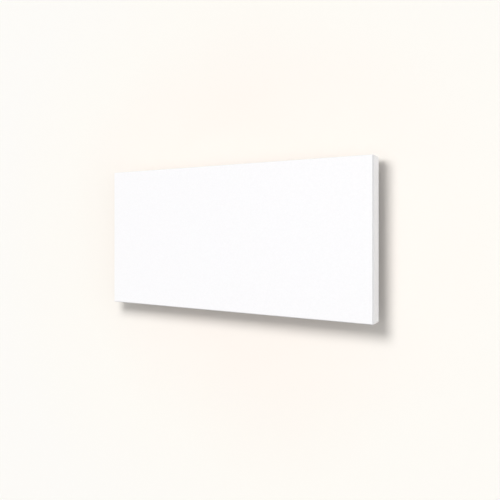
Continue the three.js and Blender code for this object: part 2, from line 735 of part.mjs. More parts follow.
// Rubber sleeve inside the spigot, with a shoulder that the nut presses on.
function inletSeal() {
  return turnedUpright([
    [CABLE_BORE_RADIUS, sealEndZ],
    [spigotRadius, sealEndZ],
    [spigotRadius, sealEndZ + SEAL_WALL],
    [sealRadius, sealEndZ + SEAL_WALL],
    [sealRadius, boxBottomZ],
    [CABLE_BORE_RADIUS, boxBottomZ],
    [CABLE_BORE_RADIUS, sealEndZ],
  ]);
}

// Hexagon nut with a domed end, over the spigot and the seal's shoulder.
function inletNut() {
  const top = boxBottomZ - SEAT_GAP;
  const domeZ = nutEndZ + NUT_DOME;
  const hex = upright(hexOutline(2 * nutHalfFlat), top - domeZ, (top + domeZ) / 2);
  const dome = turnedUpright([
    [0, nutEndZ],
    [nutHalfFlat * DOME_CROWN, nutEndZ],
    [nutHalfFlat * DOME_SHOULDER, nutEndZ + NUT_DOME * DOME_SHOULDER_RISE],
    [nutHalfFlat, domeZ + SEAT_GAP],
    [0, domeZ + SEAT_GAP],
  ]);
  const hollow = drillUpright(nutBore, nutEndZ + NUT_LIP, boxBottomZ);
  const bore = drillUpright(CABLE_BORE_RADIUS, nutEndZ - NUT_LIP, boxBottomZ);
  return cut(join(hex, dome), hollow, bore);
}

const blockBottomY = boxInsideY + SEAT_GAP;
const blockTopY = lidInsideY - BLOCK_LID_CLEARANCE;
const wireY = blockBottomY + WIRE_BORE_HEIGHT;

function polePlaces() {
  return [-POLE_PITCH / 2, POLE_PITCH / 2];
}

// Strip with a rounded tower over each pole, a wire bore along it and wells for the screws.
function terminalBlock() {
  const towerRadius = (POLE_PITCH - HOLE_GAP) / 2 - HOLE_GAP;
  const floorWidth = 2 * POLE_PITCH;
  const web = upright(roundedRectangle(floorWidth, BLOCK_WEB, BLOCK_EDGE, 0,
    blockBottomY + BLOCK_WEB / 2), BLOCK_LENGTH);
  const towers = polePlaces().map((x) => {
    const outline = new THREE.Shape();
    outline.moveTo(x - towerRadius, blockBottomY);
    outline.lineTo(x + towerRadius, blockBottomY);
    outline.absarc(x, blockTopY - towerRadius, towerRadius, 0, Math.PI);
    return upright(outline, BLOCK_LENGTH, 0, SLOT_STEPS);
  });
  const wires = polePlaces().map((x) =>
    drillUpright(WIRE_BORE_RADIUS, -BLOCK_LENGTH, BLOCK_LENGTH, x, wireY));
  const wells = blockScrewPlaces().map(([x, z]) =>
    drill(BLOCK_SCREW_RADIUS + HOLE_GAP, wireY, blockTopY + BLOCK_WEB, x, z));
  return cut(join(web, ...towers), ...wires, ...wells);
}

function blockScrewPlaces() {
  const ends = [-BLOCK_SCREW_SPACING / 2, BLOCK_SCREW_SPACING / 2];
  return polePlaces().flatMap((x) => ends.map((z) => [x, z]));
}

// Grub screw in a well, clear of the wire below it.
function blockScrew() {
  const top = blockTopY - BLOCK_SCREW_INSET;
  const bottom = wireY + LEAD_RADIUS + HOLE_GAP;
  return turned([
    [0, bottom],
    [BLOCK_SCREW_RADIUS * GRUB_POINT, bottom],
    [BLOCK_SCREW_RADIUS, bottom + BLOCK_SCREW_RADIUS * GRUB_TAPER],
    [BLOCK_SCREW_RADIUS, top],
    [0, top],
  ], SMALL_STEPS);
}

// Rubber ring with a groove that holds the edges of the cover and of the box floor.
function leadGrommet() {
  const caseSide = coverFrontY - SEAT_GAP;
  const boxSide = boxInsideY + SEAT_GAP;
  return turned([
    [GROMMET_BORE_RADIUS, caseSide - GROMMET_FLANGE],
    [GROMMET_RADIUS, caseSide - GROMMET_FLANGE],
    [GROMMET_RADIUS, caseSide],
    [GROMMET_NECK_RADIUS, caseSide],
    [GROMMET_NECK_RADIUS, boxSide],
    [GROMMET_RADIUS, boxSide],
    [GROMMET_RADIUS, boxSide + GROMMET_FLANGE],
    [GROMMET_BORE_RADIUS, boxSide + GROMMET_FLANGE],
    [GROMMET_BORE_RADIUS, caseSide - GROMMET_FLANGE],
  ]);
}

function earthStud() {
  const head = coverFrontY - SEAT_GAP;
  return turned([
    [0, head - EARTH_HEAD],
    [EARTH_HEAD_RADIUS, head - EARTH_HEAD],
    [EARTH_HEAD_RADIUS, head],
    [EARTH_RADIUS, head],
    [EARTH_RADIUS, coverBackY + EARTH_LENGTH],
    [0, coverBackY + EARTH_LENGTH],
  ]);
}

const earthWasherY = coverBackY + SEAT_GAP + EARTH_WASHER;
const earthNutY = earthWasherY + SEAT_GAP + EARTH_NUT;

function earthWasher() {
  return ringPlate(EARTH_WASHER_RADIUS, EARTH_RADIUS + HOLE_GAP, earthWasherY, EARTH_WASHER);
}

function earthNut() {
  return hexNut(EARTH_NUT_FLAT, EARTH_RADIUS + HOLE_GAP, earthNutY, EARTH_NUT);
}

// ---------------------------------------------------------------------------
// Leads
// ---------------------------------------------------------------------------

// Round lead through points given as [x, y, z above the middle of the terminal box].
function lead(points) {
  const route = new THREE.CatmullRomCurve3(
    points.map(([x, y, z]) => new THREE.Vector3(x, y, boxZ + z)));
  const section = new THREE.Shape();
  for (let side = 0; side < LEAD_SIDES; side += 1) {
    const angle = (2 * Math.PI * side) / LEAD_SIDES;
    const point = [LEAD_RADIUS * Math.cos(angle), LEAD_RADIUS * Math.sin(angle)];
    if (side === 0) section.moveTo(...point);
    else section.lineTo(...point);
  }
  return new THREE.ExtrudeGeometry(section, { steps: LEAD_STEPS, extrudePath: route });
}

const leadEndInBlock = BLOCK_OFFSET_Z + BLOCK_LENGTH / 2 - BLOCK_SCREW_RADIUS;
const leadTurnZ = BLOCK_OFFSET_Z + BLOCK_LENGTH / 2 + 2 * LEAD_RADIUS;
const grommetCaseY = coverFrontY - SEAT_GAP - GROMMET_FLANGE;
const tabTipY = trackY + SEAT_GAP + TAB_SHEET / 2 + TAB_HEIGHT;
const tabBladeZ = trackLegZ + TAB_FOOT / 2 - boxZ;
const bladeZ = CUTOUT_OFFSET_Z;

// From the right pole, through the left of the grommet, to the cut-out.
function liveLead() {
  const poleX = BLOCK_OFFSET_X + POLE_PITCH / 2;
  const exitX = GROMMET_OFFSET_X - LEAD_SPREAD;
  const bladeX = CUTOUT_OFFSET_X + BLADE_OFFSET;
  return lead([
    [poleX, wireY, leadEndInBlock],
    [poleX, wireY, leadTurnZ],
    [poleX + LIVE_TURN, wireY, leadTurnZ + LIVE_LEVEL],
    [exitX - LIVE_TURN, wireY, leadTurnZ + LIVE_LEVEL],
    [exitX, wireY - LEAD_EASE, GROMMET_OFFSET_Z],
    [exitX, coverBackY, GROMMET_OFFSET_Z],
    [exitX, grommetCaseY - LEAD_EASE, GROMMET_OFFSET_Z],
    [exitX - 3 * LEAD_EASE, grommetCaseY - LEAD_UP, GROMMET_OFFSET_Z - LEAD_EASE],
    [bladeX, bladeTipY + LEAD_OUT, bladeZ],
    [bladeX, bladeTipY + SEAT_GAP, bladeZ],
  ]);
}

// From the cut-out to the left end of the track.
function linkLead() {
  const bladeX = CUTOUT_OFFSET_X - BLADE_OFFSET;
  return lead([
    [bladeX, bladeTipY + SEAT_GAP, bladeZ],
    [bladeX, bladeTipY + LEAD_OUT, bladeZ],
    [bladeX - LEAD_EASE / 2, bladeTipY + LEAD_UP, bladeZ - LEAD_UP],
    [-TAB_OFFSET, bladeTipY + LEAD_EASE, tabBladeZ + 2 * LEAD_OUT],
    [-TAB_OFFSET, tabTipY + LEAD_UP, tabBladeZ],
    [-TAB_OFFSET, tabTipY + SEAT_GAP, tabBladeZ],
  ]);
}

// From the left pole, through the right of the grommet, to the right end of the track.
function neutralLead() {
  const poleX = BLOCK_OFFSET_X - POLE_PITCH / 2;
  const exitX = GROMMET_OFFSET_X + LEAD_SPREAD;
  return lead([
    [poleX, wireY, leadEndInBlock],
    [poleX, wireY, leadTurnZ + LEAD_EASE],
    [poleX + NEUTRAL_TURN, wireY, leadTurnZ + NEUTRAL_LEVEL],
    [exitX - NEUTRAL_TURN, wireY, leadTurnZ + NEUTRAL_LEVEL],
    [exitX, wireY - LEAD_EASE, GROMMET_OFFSET_Z],
    [exitX, coverBackY, GROMMET_OFFSET_Z],
    [exitX, grommetCaseY - 2 * LEAD_EASE, GROMMET_OFFSET_Z - LEAD_EASE / 2],
    [TAB_OFFSET, tabTipY + 4 * LEAD_OUT, tabBladeZ + 2 * LEAD_UP],
    [TAB_OFFSET, tabTipY + LEAD_UP, tabBladeZ],
    [TAB_OFFSET, tabTipY + SEAT_GAP, tabBladeZ],
  ]);
}

// ---------------------------------------------------------------------------
// Hanging studs
// ---------------------------------------------------------------------------

function studPlaces() {
  return [[-railX, studZ], [railX, studZ], [-railX, -studZ], [railX, -studZ]];
}

const studNutY = coverFrontY - SEAT_GAP;

// Shoulder stud: head behind the rail, neck in the keyhole and the spacer, thread in the nut.
function hangingStud() {
  const end = studNutY - STUD_NUT - STUD_TAIL;
  return turned([
    [0, end],
    [STUD_THREAD_RADIUS, end],
    [STUD_THREAD_RADIUS, spacerFrontY],
    [STUD_NECK_RADIUS, spacerFrontY],
    [STUD_NECK_RADIUS, studHeadY],
    [STUD_HEAD_RADIUS, studHeadY],
    [STUD_HEAD_RADIUS, studHeadY + STUD_HEAD * STUD_EDGE],
    [STUD_HEAD_RADIUS * STUD_CROWN, studHeadY + STUD_HEAD],
    [0, studHeadY + STUD_HEAD],
  ]);
}

function studSpacer() {
  return ringPlate(SPACER_RADIUS, STUD_NECK_RADIUS + HOLE_GAP,
    spacerFrontY + SPACER_LENGTH, SPACER_LENGTH);
}

function studNut() {
  return hexNut(STUD_NUT_FLAT, STUD_THREAD_RADIUS + HOLE_GAP, studNutY, STUD_NUT);
}

// ---------------------------------------------------------------------------
// Wall bracket
// ---------------------------------------------------------------------------

function rivetPlaces() {
  return [-RIVET_SPACING / 2, RIVET_SPACING / 2];
}

// Hat-section rail: two feet on the wall and a web that stands off it, with two keyholes.
// The inner side is the one with the rivets: -1 for the left of the rail, 1 for its right.
function hangingRail(innerSide) {
  const footY = -RAIL_SHEET / 2;
  const webY = railWebY + RAIL_SHEET / 2;
  const wall = RAIL_WEB / 2 - RAIL_SHEET / 2;
  const corners = [
    [-footEdge, footY], [-wall, footY], [-wall, webY],
    [wall, webY], [wall, footY], [footEdge, footY],
  ];
  const body = upright(stripOutline(corners, RAIL_BEND, RAIL_SHEET), RAIL_LENGTH);
  const keyholes = [-studZ, studZ].map((z) =>
    plate(keyholeOutline(0, z), railWebBackY + RAIL_SHEET, 3 * RAIL_SHEET, SLOT_STEPS));
  const holeZ = RAIL_LENGTH / 2 - RAIL_HOLE_END;
  const outerHoles = [-holeZ, holeZ].map((z) =>
    drill(RAIL_HOLE_RADIUS, -2 * RAIL_SHEET, RAIL_SHEET, -innerSide * footMiddle, z));
  const innerSlots = [-holeZ, holeZ].map((z) => {
    const slot = slotOutline(RAIL_SLOT_LENGTH, RAIL_HOLE_RADIUS);
    const tool = plate(slot, RAIL_SHEET, 3 * RAIL_SHEET, SLOT_STEPS).rotateY(Math.PI / 2);
    return tool.translate(innerSide * footMiddle, 0, z);
  });
  const rivetHoles = rivetPlaces().map((z) =>
    drill(RIVET_RADIUS + HOLE_GAP, -2 * RAIL_SHEET, RAIL_SHEET, innerSide * footMiddle, z));
  return cut(body, ...keyholes, ...outerHoles, ...innerSlots, ...rivetHoles);
}

// Flat bar on the wall whose ends step over the inner feet of the rails.
function crossBar() {
  const footStart = railX - footEdge;
  const stepEnd = footStart - BAR_EDGE_GAP;
  const stepStart = stepEnd - BAR_STEP;
  const end = footStart + BAR_OVERLAP;
  const wallSide = [[-end, barEndY], [-stepEnd, barEndY], [-stepStart, 0],
    [stepStart, 0], [stepEnd, barEndY], [end, barEndY]];
  const roomSide = wallSide.map(([x, y]) => [x, y - RAIL_SHEET]).reverse();
  const outline = new THREE.Shape([...roomSide, ...wallSide].map(([x, y]) => new THREE.Vector2(x, y)));
  const tall = 4 * RAIL_SHEET - barEndY;
  const slots = [-BAR_SLOT_OFFSET, BAR_SLOT_OFFSET].map((x) =>
    plate(slotOutline(RAIL_SLOT_LENGTH, RAIL_HOLE_RADIUS, x), RAIL_SHEET, tall, SLOT_STEPS));
  const rivetHoles = [-rivetX, rivetX].flatMap((x) => rivetPlaces().map((z) =>
    drill(RIVET_RADIUS + HOLE_GAP, barEndY - 2 * RAIL_SHEET, RAIL_SHEET, x, z)));
  return cut(upright(outline, BAR_HEIGHT), ...slots, ...rivetHoles);
}

// Flush-set rivet with its head on the room side of the bar.
function rivet() {
  const seat = barEndY - RAIL_SHEET - SEAT_GAP;
  return turned([
    [0, seat - RIVET_HEAD],
    [RIVET_HEAD_RADIUS * RIVET_CROWN, seat - RIVET_HEAD],
    [RIVET_HEAD_RADIUS * RIVET_SHOULDER, seat - RIVET_HEAD * RIVET_EDGE],
    [RIVET_HEAD_RADIUS, seat],
    [RIVET_RADIUS, seat],
    [RIVET_RADIUS, -SEAT_GAP],
    [0, -SEAT_GAP],
  ], SMALL_STEPS);
}

// ---------------------------------------------------------------------------
// Assembly
// ---------------------------------------------------------------------------

const heater = new THREE.Group();
const bracket = new THREE.Group();
const panel = new THREE.Group();
const terminals = new THREE.Group();
heater.add(bracket, panel);
panel.add(terminals);

function piece(group, name, geometry, look, x = 0, y = 0, z = 0) {
  const mesh = new THREE.Mesh(geometry, look);
  mesh.name = name;
  mesh.position.set(x, y, z);
  group.add(mesh);
}

// Like pieces at places given as (x, z), numbered from 1.
function copies(group, name, geometry, look, places) {
  places.forEach(([x, z], i) => piece(group, `${name}_${i + 1}`, geometry, look, x, 0, z));
}

piece(bracket, 'hanging_rail_left', hangingRail(1), bracketSteel, -railX);
piece(bracket, 'hanging_rail_right', hangingRail(-1), bracketSteel, railX);
piece(bracket, 'cross_bar', crossBar(), bracketSteel);
copies(bracket, 'bracket_rivet', rivet(), zincPlated,
  [-rivetX, rivetX].flatMap((x) => rivetPlaces().map((z) => [x, z])));

piece(panel, 'front_tray', frontTray(), powderWhite);
piece(panel, 'front_film', frontFilm(), filmAmber);
piece(panel, 'heating_track', heatingTrack(), trackFoil);
piece(panel, 'rear_film', rearFilm(), filmAmber);
piece(panel, 'track_tab_left', trackTab(), brass, -TAB_OFFSET, 0, trackLegZ);
piece(panel, 'track_tab_right', trackTab(), brass, TAB_OFFSET, 0, trackLegZ);
piece(panel, 'reflector_foil', reflectorFoil(), brightFoil);
piece(panel, 'insulation_board', insulationBoard(), mineralBoard);
const cutoutZ = boxZ + CUTOUT_OFFSET_Z;
piece(panel, 'thermal_cutout', thermalCutout(), phenolic, CUTOUT_OFFSET_X, 0, cutoutZ);
piece(panel, 'cutout_strap', cutoutStrap(), zincPlated, CUTOUT_OFFSET_X, 0, cutoutZ);
piece(panel, 'live_lead', liveLead(), leadBrown);
piece(panel, 'link_lead', linkLead(), leadBrown);
piece(panel, 'neutral_lead', neutralLead(), leadBlue);
piece(panel, 'rear_cover', rearCover(), galvanised);
copies(panel, 'cover_screw', coverScrew(), zincPlated, coverScrewPlaces());
copies(panel, 'hanging_stud', hangingStud(), zincPlated, studPlaces());
copies(panel, 'stud_spacer', studSpacer(), boxPlastic, studPlaces());
copies(panel, 'stud_nut', studNut(), zincPlated, studPlaces());

piece(terminals, 'terminal_box_base', terminalBoxBase(), boxPlastic);
piece(terminals, 'terminal_box_lid', terminalBoxLid(), boxPlastic);
copies(terminals, 'lid_screw', lidScrew(), zincPlated, [[-bossX, boxZ], [bossX, boxZ]]);
const blockZ = boxZ + BLOCK_OFFSET_Z;
piece(terminals, 'terminal_block', terminalBlock(), blockNylon, BLOCK_OFFSET_X, 0, blockZ);
copies(terminals, 'block_screw', blockScrew(), zincPlated,
  blockScrewPlaces().map(([x, z]) => [BLOCK_OFFSET_X + x, blockZ + z]));
piece(terminals, 'lead_grommet', leadGrommet(), sealRubber,
  GROMMET_OFFSET_X, 0, boxZ + GROMMET_OFFSET_Z);
const earthZ = boxZ + EARTH_OFFSET_Z;
piece(terminals, 'earth_stud', earthStud(), brass, EARTH_OFFSET_X, 0, earthZ);
piece(terminals, 'earth_washer', earthWasher(), zincPlated, EARTH_OFFSET_X, 0, earthZ);
piece(terminals, 'earth_nut', earthNut(), brass, EARTH_OFFSET_X, 0, earthZ);
piece(terminals, 'inlet_seal', inletSeal(), sealRubber, 0, inletY);
piece(terminals, 'inlet_nut', inletNut(), boxPlastic, 0, inletY);

export default heater;
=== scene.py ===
# %% [markdown]
# # Infrared panel heater
#
# A flat steel case, 600 x 295 x 35 mm, with a foil heating element behind its front sheet. It hangs by four
# studs on a steel bracket that stays on the wall. The CAD model is the frame: this script gives its pieces
# the shapes and finishes that the eye sees, and never moves them. Everything is in metres, +Z is up and +Y
# points into the wall.

# %% The fixed frame
import json
import math

import bmesh
import bpy
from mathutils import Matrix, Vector


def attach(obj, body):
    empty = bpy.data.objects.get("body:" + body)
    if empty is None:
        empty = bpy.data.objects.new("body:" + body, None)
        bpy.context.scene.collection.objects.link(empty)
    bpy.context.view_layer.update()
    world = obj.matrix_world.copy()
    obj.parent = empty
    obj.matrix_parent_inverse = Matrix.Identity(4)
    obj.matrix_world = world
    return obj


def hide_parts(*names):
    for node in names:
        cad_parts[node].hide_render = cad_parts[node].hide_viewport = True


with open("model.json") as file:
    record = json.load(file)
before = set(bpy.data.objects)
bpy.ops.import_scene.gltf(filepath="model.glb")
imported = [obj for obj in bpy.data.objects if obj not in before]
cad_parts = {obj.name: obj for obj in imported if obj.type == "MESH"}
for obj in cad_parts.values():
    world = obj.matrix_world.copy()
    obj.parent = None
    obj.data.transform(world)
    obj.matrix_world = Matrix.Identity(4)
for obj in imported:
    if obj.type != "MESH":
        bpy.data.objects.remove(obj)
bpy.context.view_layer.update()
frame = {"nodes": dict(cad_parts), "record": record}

# %% [markdown]
# ## Units and small tools
#
# The CAD is drawn in millimetres and Blender works in metres, so the heater's sizes are written in
# millimetres and multiplied by MM once. Colours are written the way a paint chart gives them, as sRGB hex,
# and one function turns them into the linear numbers that a shader works with.

# %% Lengths and colours
MM = 0.001


def at(x, y, z):
    """A point given in millimetres."""
    return Vector((x * MM, y * MM, z * MM))


def linear(hex_colour):
    """Linear RGBA of an sRGB colour such as 'F4F2EE'."""
    parts = [int(hex_colour[i:i + 2], 16) / 255 for i in (0, 2, 4)]
    return (*[p / 12.92 if p <= 0.04045 else ((p + 0.055) / 1.055) ** 2.4 for p in parts], 1.0)


# %% [markdown]
# One function adds any shader node: it sets the node's properties and fills or links its sockets. A value
# that is a node is linked from its first output, a pair (node, "output name") is linked from that output,
# and anything else is written on the socket.

# %% Adding a shader node
def connect(tree, node, sockets):
    for key, value in sockets.items():
        if isinstance(value, bpy.types.Node):
            tree.links.new(value.outputs[0], node.inputs[key])
        elif isinstance(value, tuple) and isinstance(value[0], bpy.types.Node):
            tree.links.new(value[0].outputs[value[1]], node.inputs[key])
        else:
            node.inputs[key].default_value = value


def add(tree, kind, sockets, **settings):
    node = tree.nodes.new(kind)
    for key, value in settings.items():
        setattr(node, key, value)
    connect(tree, node, sockets)
    return node


def maths(tree, operation, first, second):
    return add(tree, "ShaderNodeMath", {0: first, 1: second}, operation=operation)


def ramp(tree, source, *stops):
    """Colour ramp over a node's value, from (position, sRGB hex) stops."""
    node = add(tree, "ShaderNodeValToRGB", {"Fac": source})
    elements = node.color_ramp.elements
    for index, (position, colour) in ((0, stops[0]), (1, stops[-1])):
        elements[index].position = position
        elements[index].color = linear(colour)
    for position, colour in stops[1:-1]:
        elements.new(position).color = linear(colour)
    return node


def span(tree, source, low, high):
    """A node's 0 to 1 value, stretched to low to high."""
    return add(tree, "ShaderNodeMapRange", {"Value": source, "To Min": low, "To Max": high})


def new_material(name):
    """Material with an untouched Principled shader, and the object's own coordinates in metres."""
    material = bpy.data.materials.new(name)
    material.use_nodes = True
    tree = material.node_tree
    where = add(tree, "ShaderNodeTexCoord", {})
    return material, tree, tree.nodes["Principled BSDF"], (where, "Object")


def grain(tree, where, millimetres, detail=2.0):
    """Noise whose blotches are about that many millimetres across."""
    sockets = {"Vector": where, "Scale": 1 / (millimetres * MM), "Detail": detail}
    return add(tree, "ShaderNodeTexNoise", sockets)


def relief(tree, shader, height, millimetres, strength, under=None):
    """Bump that is that many millimetres high, on top of another bump if there is one."""
    sockets = {"Height": height, "Distance": millimetres * MM, "Strength": strength}
    if under:
        sockets["Normal"] = under
    bump = add(tree, "ShaderNodeBump", sockets)
    connect(tree, shader, {"Normal": bump})
    return bump


# %% [markdown]
# ## Powder coat on the case
#
# The case is sheet steel with a white fine-structure polyester powder coat: the powder is sprayed on dry and
# melts in an oven, which leaves a matt skin with a faint grain and no brush marks. The grain is about 0.5 mm,
# too fine to show at this distance, so a second, gentler unevenness of 3 mm stands for what the eye catches
# as slight mottle.

# %% White fine-structure powder coat
def white_powder_coat():
    material, tree, shader, where = new_material("white_fine_structure_powder_coat")
    mottle = grain(tree, where, 3.0, detail=3.0)
    connect(tree, shader, {"Base Color": ramp(tree, mottle, (0.3, "F5F4F5"), (0.7, "F8F7F8")),
                           "Roughness": span(tree, grain(tree, where, 1.2), 0.58, 0.7),
                           "IOR": 1.5,
                           "Specular IOR Level": 0.25})
    coarse = relief(tree, shader, mottle, 0.03, 0.6)
    relief(tree, shader, grain(tree, where, 0.5), 0.02, 0.8, under=coarse)
    return material


FINISH = {"white_powder_coat": white_powder_coat()}

# %% [markdown]
# ## Paint on the wall bracket
#
# The bracket is powder coated too, but in a smoother epoxy that flows out to an even satin. The only texture
# left is the soft waviness called orange peel, 2 to 3 mm from crest to crest.

# %% Satin bracket paint
def bracket_paint():
    material, tree, shader, where = new_material("satin_epoxy_powder_coat")
    peel = grain(tree, where, 2.5)
    tone = ramp(tree, grain(tree, where, 14.0), (0.3, "E2E2DF"), (0.7, "E8E8E6"))
    connect(tree, shader, {"Base Color": tone, "Roughness": span(tree, peel, 0.34, 0.44)})
    relief(tree, shader, peel, 0.03, 0.7)
    return material


FINISH["bracket_paint"] = bracket_paint()

# %% [markdown]
# ## Galvanised sheet
#
# The rear cover is bare steel sheet that was dipped in molten zinc. The zinc freezes in flat crystals, called
# spangle, 5 to 10 mm across, each with its own grey and its own shine. Cell noise gives exactly that
# patchwork; a soft noise bends the cells' borders, so that they don't look like tiles.

# %% Spangled zinc
def galvanised():
    material, tree, shader, where = new_material("galvanised_steel_sheet")
    drift = grain(tree, where, 9.0, detail=3.0)
    warp = add(tree, "ShaderNodeVectorMath", {0: (drift, "Color"), "Scale": 4 * MM}, operation="SCALE")
    bent = add(tree, "ShaderNodeVectorMath", {0: where, 1: warp}, operation="ADD")
    spangle = add(tree, "ShaderNodeTexVoronoi", {"Vector": bent, "Scale": 1 / (8 * MM)})
    shade = add(tree, "ShaderNodeSeparateColor", {"Color": (spangle, "Color")})
    greys = ramp(tree, (shade, "Red"), (0.0, "A9AEB2"), (0.5, "B7BBBE"), (1.0, "C6C9CB"))
    connect(tree, shader, {"Base Color": greys,
                           "Metallic": 0.85,
                           "Roughness": span(tree, (shade, "Green"), 0.36, 0.52)})
    relief(tree, shader, grain(tree, where, 0.8), 0.01, 0.5)
    return material


FINISH["galvanised"] = galvanised()

# %% [markdown]
# ## Zinc-plated fasteners, brass and foils
#
# Screws, studs and rivets are plated with a few thousandths of a millimetre of zinc and dipped in a clear
# blue passivate. The eye sees a bright grey metal with a faint blue and straw tint that changes over a few
# millimetres.

# %% Plated steel
def zinc_fastener():
    material, tree, shader, where = new_material("blue_passivated_zinc_plate")
    tint = ramp(tree, grain(tree, where, 3.0), (0.3, "BFC6CE"), (0.55, "CFD2D3"), (0.75, "D2CFC4"))
    gloss = span(tree, grain(tree, where, 0.6, detail=4.0), 0.24, 0.4)
    connect(tree, shader, {"Base Color": tint, "Metallic": 1.0, "Roughness": gloss})
    return material


FINISH["zinc_fastener"] = zinc_fastener()


# %% Turned brass
def brass():
    material, tree, shader, where = new_material("turned_brass")
    tint = ramp(tree, grain(tree, where, 2.0, detail=3.0), (0.3, "B8923F"), (0.7, "D1AC5C"))
    gloss = span(tree, grain(tree, where, 0.4), 0.25, 0.38)
    connect(tree, shader, {"Base Color": tint, "Metallic": 1.0, "Roughness": gloss})
    return material


FINISH["brass"] = brass()


# %% Etched resistance foil and reflector foil
def track_foil():
    material, tree, shader, where = new_material("etched_resistance_foil")
    rolled = add(tree, "ShaderNodeMapping", {"Vector": where, "Scale": (1.0, 1.0, 0.04)})
    lines = grain(tree, rolled, 0.6, detail=4.0)
    connect(tree, shader, {"Base Color": ramp(tree, lines, (0.3, "9B978F"), (0.7, "B4B0A8")),
                           "Metallic": 1.0,
                           "Roughness": span(tree, lines, 0.3, 0.45)})
    relief(tree, shader, lines, 0.01, 0.4)
    return material


def bright_foil():
    material, tree, shader, where = new_material("aluminium_reflector_foil")
    creases = add(tree, "ShaderNodeTexVoronoi", {"Vector": where, "Scale": 1 / (22 * MM)},
                  feature="DISTANCE_TO_EDGE")
    tone = ramp(tree, grain(tree, where, 30.0), (0.3, "D6D9DC"), (0.7, "E4E6E8"))
    gloss = span(tree, grain(tree, where, 4.0), 0.15, 0.28)
    connect(tree, shader, {"Base Color": tone, "Metallic": 1.0, "Roughness": gloss})
    relief(tree, shader, creases, 0.4, 0.5)
    return material


FINISH["track_foil"] = track_foil()
FINISH["bright_foil"] = bright_foil()

# %% [markdown]
# ## Film, insulation board and mouldings
#
# The element is laminated between two amber polyimide films, clear plastic that shines like varnish. The
# board behind it is pressed mineral fibre: matt, straw coloured, with long fibres. The mouldings are
# glass-filled nylon and phenolic from spark-eroded tools, which print a fine, even grain of 0.3 to 0.6 mm.

# %% Amber film
def film():
    material, tree, shader, where = new_material("amber_polyimide_film")
    amber = ramp(tree, grain(tree, where, 40.0), (0.3, "A8671A"), (0.7, "BD7C27"))
    gloss = span(tree, grain(tree, where, 9.0), 0.16, 0.26)
    connect(tree, shader, {"Base Color": amber, "Roughness": gloss, "IOR": 1.7})
    relief(tree, shader, grain(tree, where, 25.0), 0.15, 0.4)
    return material


FINISH["film"] = film()


# %% Mineral fibre board
def insulation():
    material, tree, shader, where = new_material("pressed_mineral_fibre")
    stretched = add(tree, "ShaderNodeMapping", {"Vector": where, "Scale": (0.25, 1.0, 1.0)})
    fibres = grain(tree, stretched, 0.9, detail=6.0)
    clumps = grain(tree, where, 6.0, detail=3.0)
    straw = ramp(tree, maths(tree, "MULTIPLY", fibres, clumps),
                 (0.12, "A8935A"), (0.3, "CDB981"), (0.45, "DDCD9C"))
    connect(tree, shader, {"Base Color": straw, "Roughness": 0.95})
    relief(tree, shader, fibres, 0.3, 0.8)
    return material


FINISH["insulation"] = insulation()


# %% Moulded plastics
def moulded(name, dark, light, smoothest, roughest, grit=0.4):
    """Plastic from a spark-eroded tool: two close shades, a roughness range and a grain in millimetres."""
    material, tree, shader, where = new_material(name)
    cloud = grain(tree, where, 7.0, detail=3.0)
    spark = grain(tree, where, grit, detail=1.0)
    connect(tree, shader, {"Base Color": ramp(tree, cloud, (0.3, dark), (0.7, light)),
                           "Roughness": span(tree, spark, smoothest, roughest)})
    relief(tree, shader, spark, 0.03, 0.8)
    return material


FINISH["black_plastic"] = moulded("glass_filled_nylon_black", "2A2C2E", "323436", 0.45, 0.6)
FINISH["phenolic"] = moulded("moulded_phenolic", "241F1C", "2F2925", 0.4, 0.55, grit=0.3)
FINISH["block_nylon"] = moulded("natural_nylon", "E2DECF", "ECE8DC", 0.35, 0.5, grit=0.5)
FINISH["seal_rubber"] = moulded("moulded_seal_rubber", "191919", "202020", 0.75, 0.9, grit=0.6)
FINISH["brown_lead"] = moulded("silicone_lead_brown", "5F331A", "6E3F22", 0.45, 0.6, grit=0.8)
FINISH["blue_lead"] = moulded("silicone_lead_blue", "28569C", "3264AE", 0.45, 0.6, grit=0.8)
print("finishes:", len(FINISH))

# %% [markdown]
# ## Dressing the CAD solids
#
# Every CAD node gets the finish that the record names for it. Nodes whose shape is already right keep it; the
# ones that show are rebuilt further down with bends, beads and recesses that the plain solids only hint at.

# %% Finishes onto the CAD nodes
for part in frame["record"]["subparts"]:
    slots = frame["nodes"][part["node"]].data.materials
    slots.clear()
    slots.append(FINISH[part["material_slot"]])
print("dressed nodes:", len(frame["nodes"]))


# %% [markdown]
# ## Tools for sheet metal
#
# All sheet parts are made the way a press shop makes them: a flat blank with its holes, folded along lines,
# with one thickness everywhere. Blender's Solidify modifier gives that thickness to a bare surface, and a
# Bevel modifier takes the hard edge off the cut rims, so that they catch the light as deburred sheet does.

# %% Outlines in the flat
SLOT_STEPS, HOLE_STEPS, ROUND_STEPS = 12, 20, 28


def arc(x, y, radius, start, end, steps):
    """Points on an arc, with angles in degrees."""
    angles = [math.radians(start + (end - start) * i / steps) for i in range(steps + 1)]
    return [(x + radius * math.cos(a), y + radius * math.sin(a)) for a in angles]


def circle(x, y, radius, steps=32):
    return arc(x, y, radius, 0, 360, steps)[:-1]


def stadium(x1, x2, y, radius):
    """Slot outline between the centres (x1, y) and (x2, y)."""
    return arc(x2, y, radius, -90, 90, SLOT_STEPS) + arc(x1, y, radius, 90, 270, SLOT_STEPS)


def rounded_rectangle(width, height, radius, steps):
    right, top = width / 2 - radius, height / 2 - radius
    corners = [(right, top, 0), (-right, top, 90), (-right, -top, 180), (right, -top, 270)]
    return [p for x, y, start in corners for p in arc(x, y, radius, start, start + 90, steps)]


# %% Filling, lofting and finishing a mesh
def ring_of(mesh, points):
    """Vertices at those 3-D points, in millimetres."""
    return [mesh.verts.new(at(*p)) for p in points]


def flat_ring(mesh, outline, y):
    """Vertices of an outline, (x, z), in the upright plane at y."""
    return ring_of(mesh, [(x, y, z) for x, z in outline])


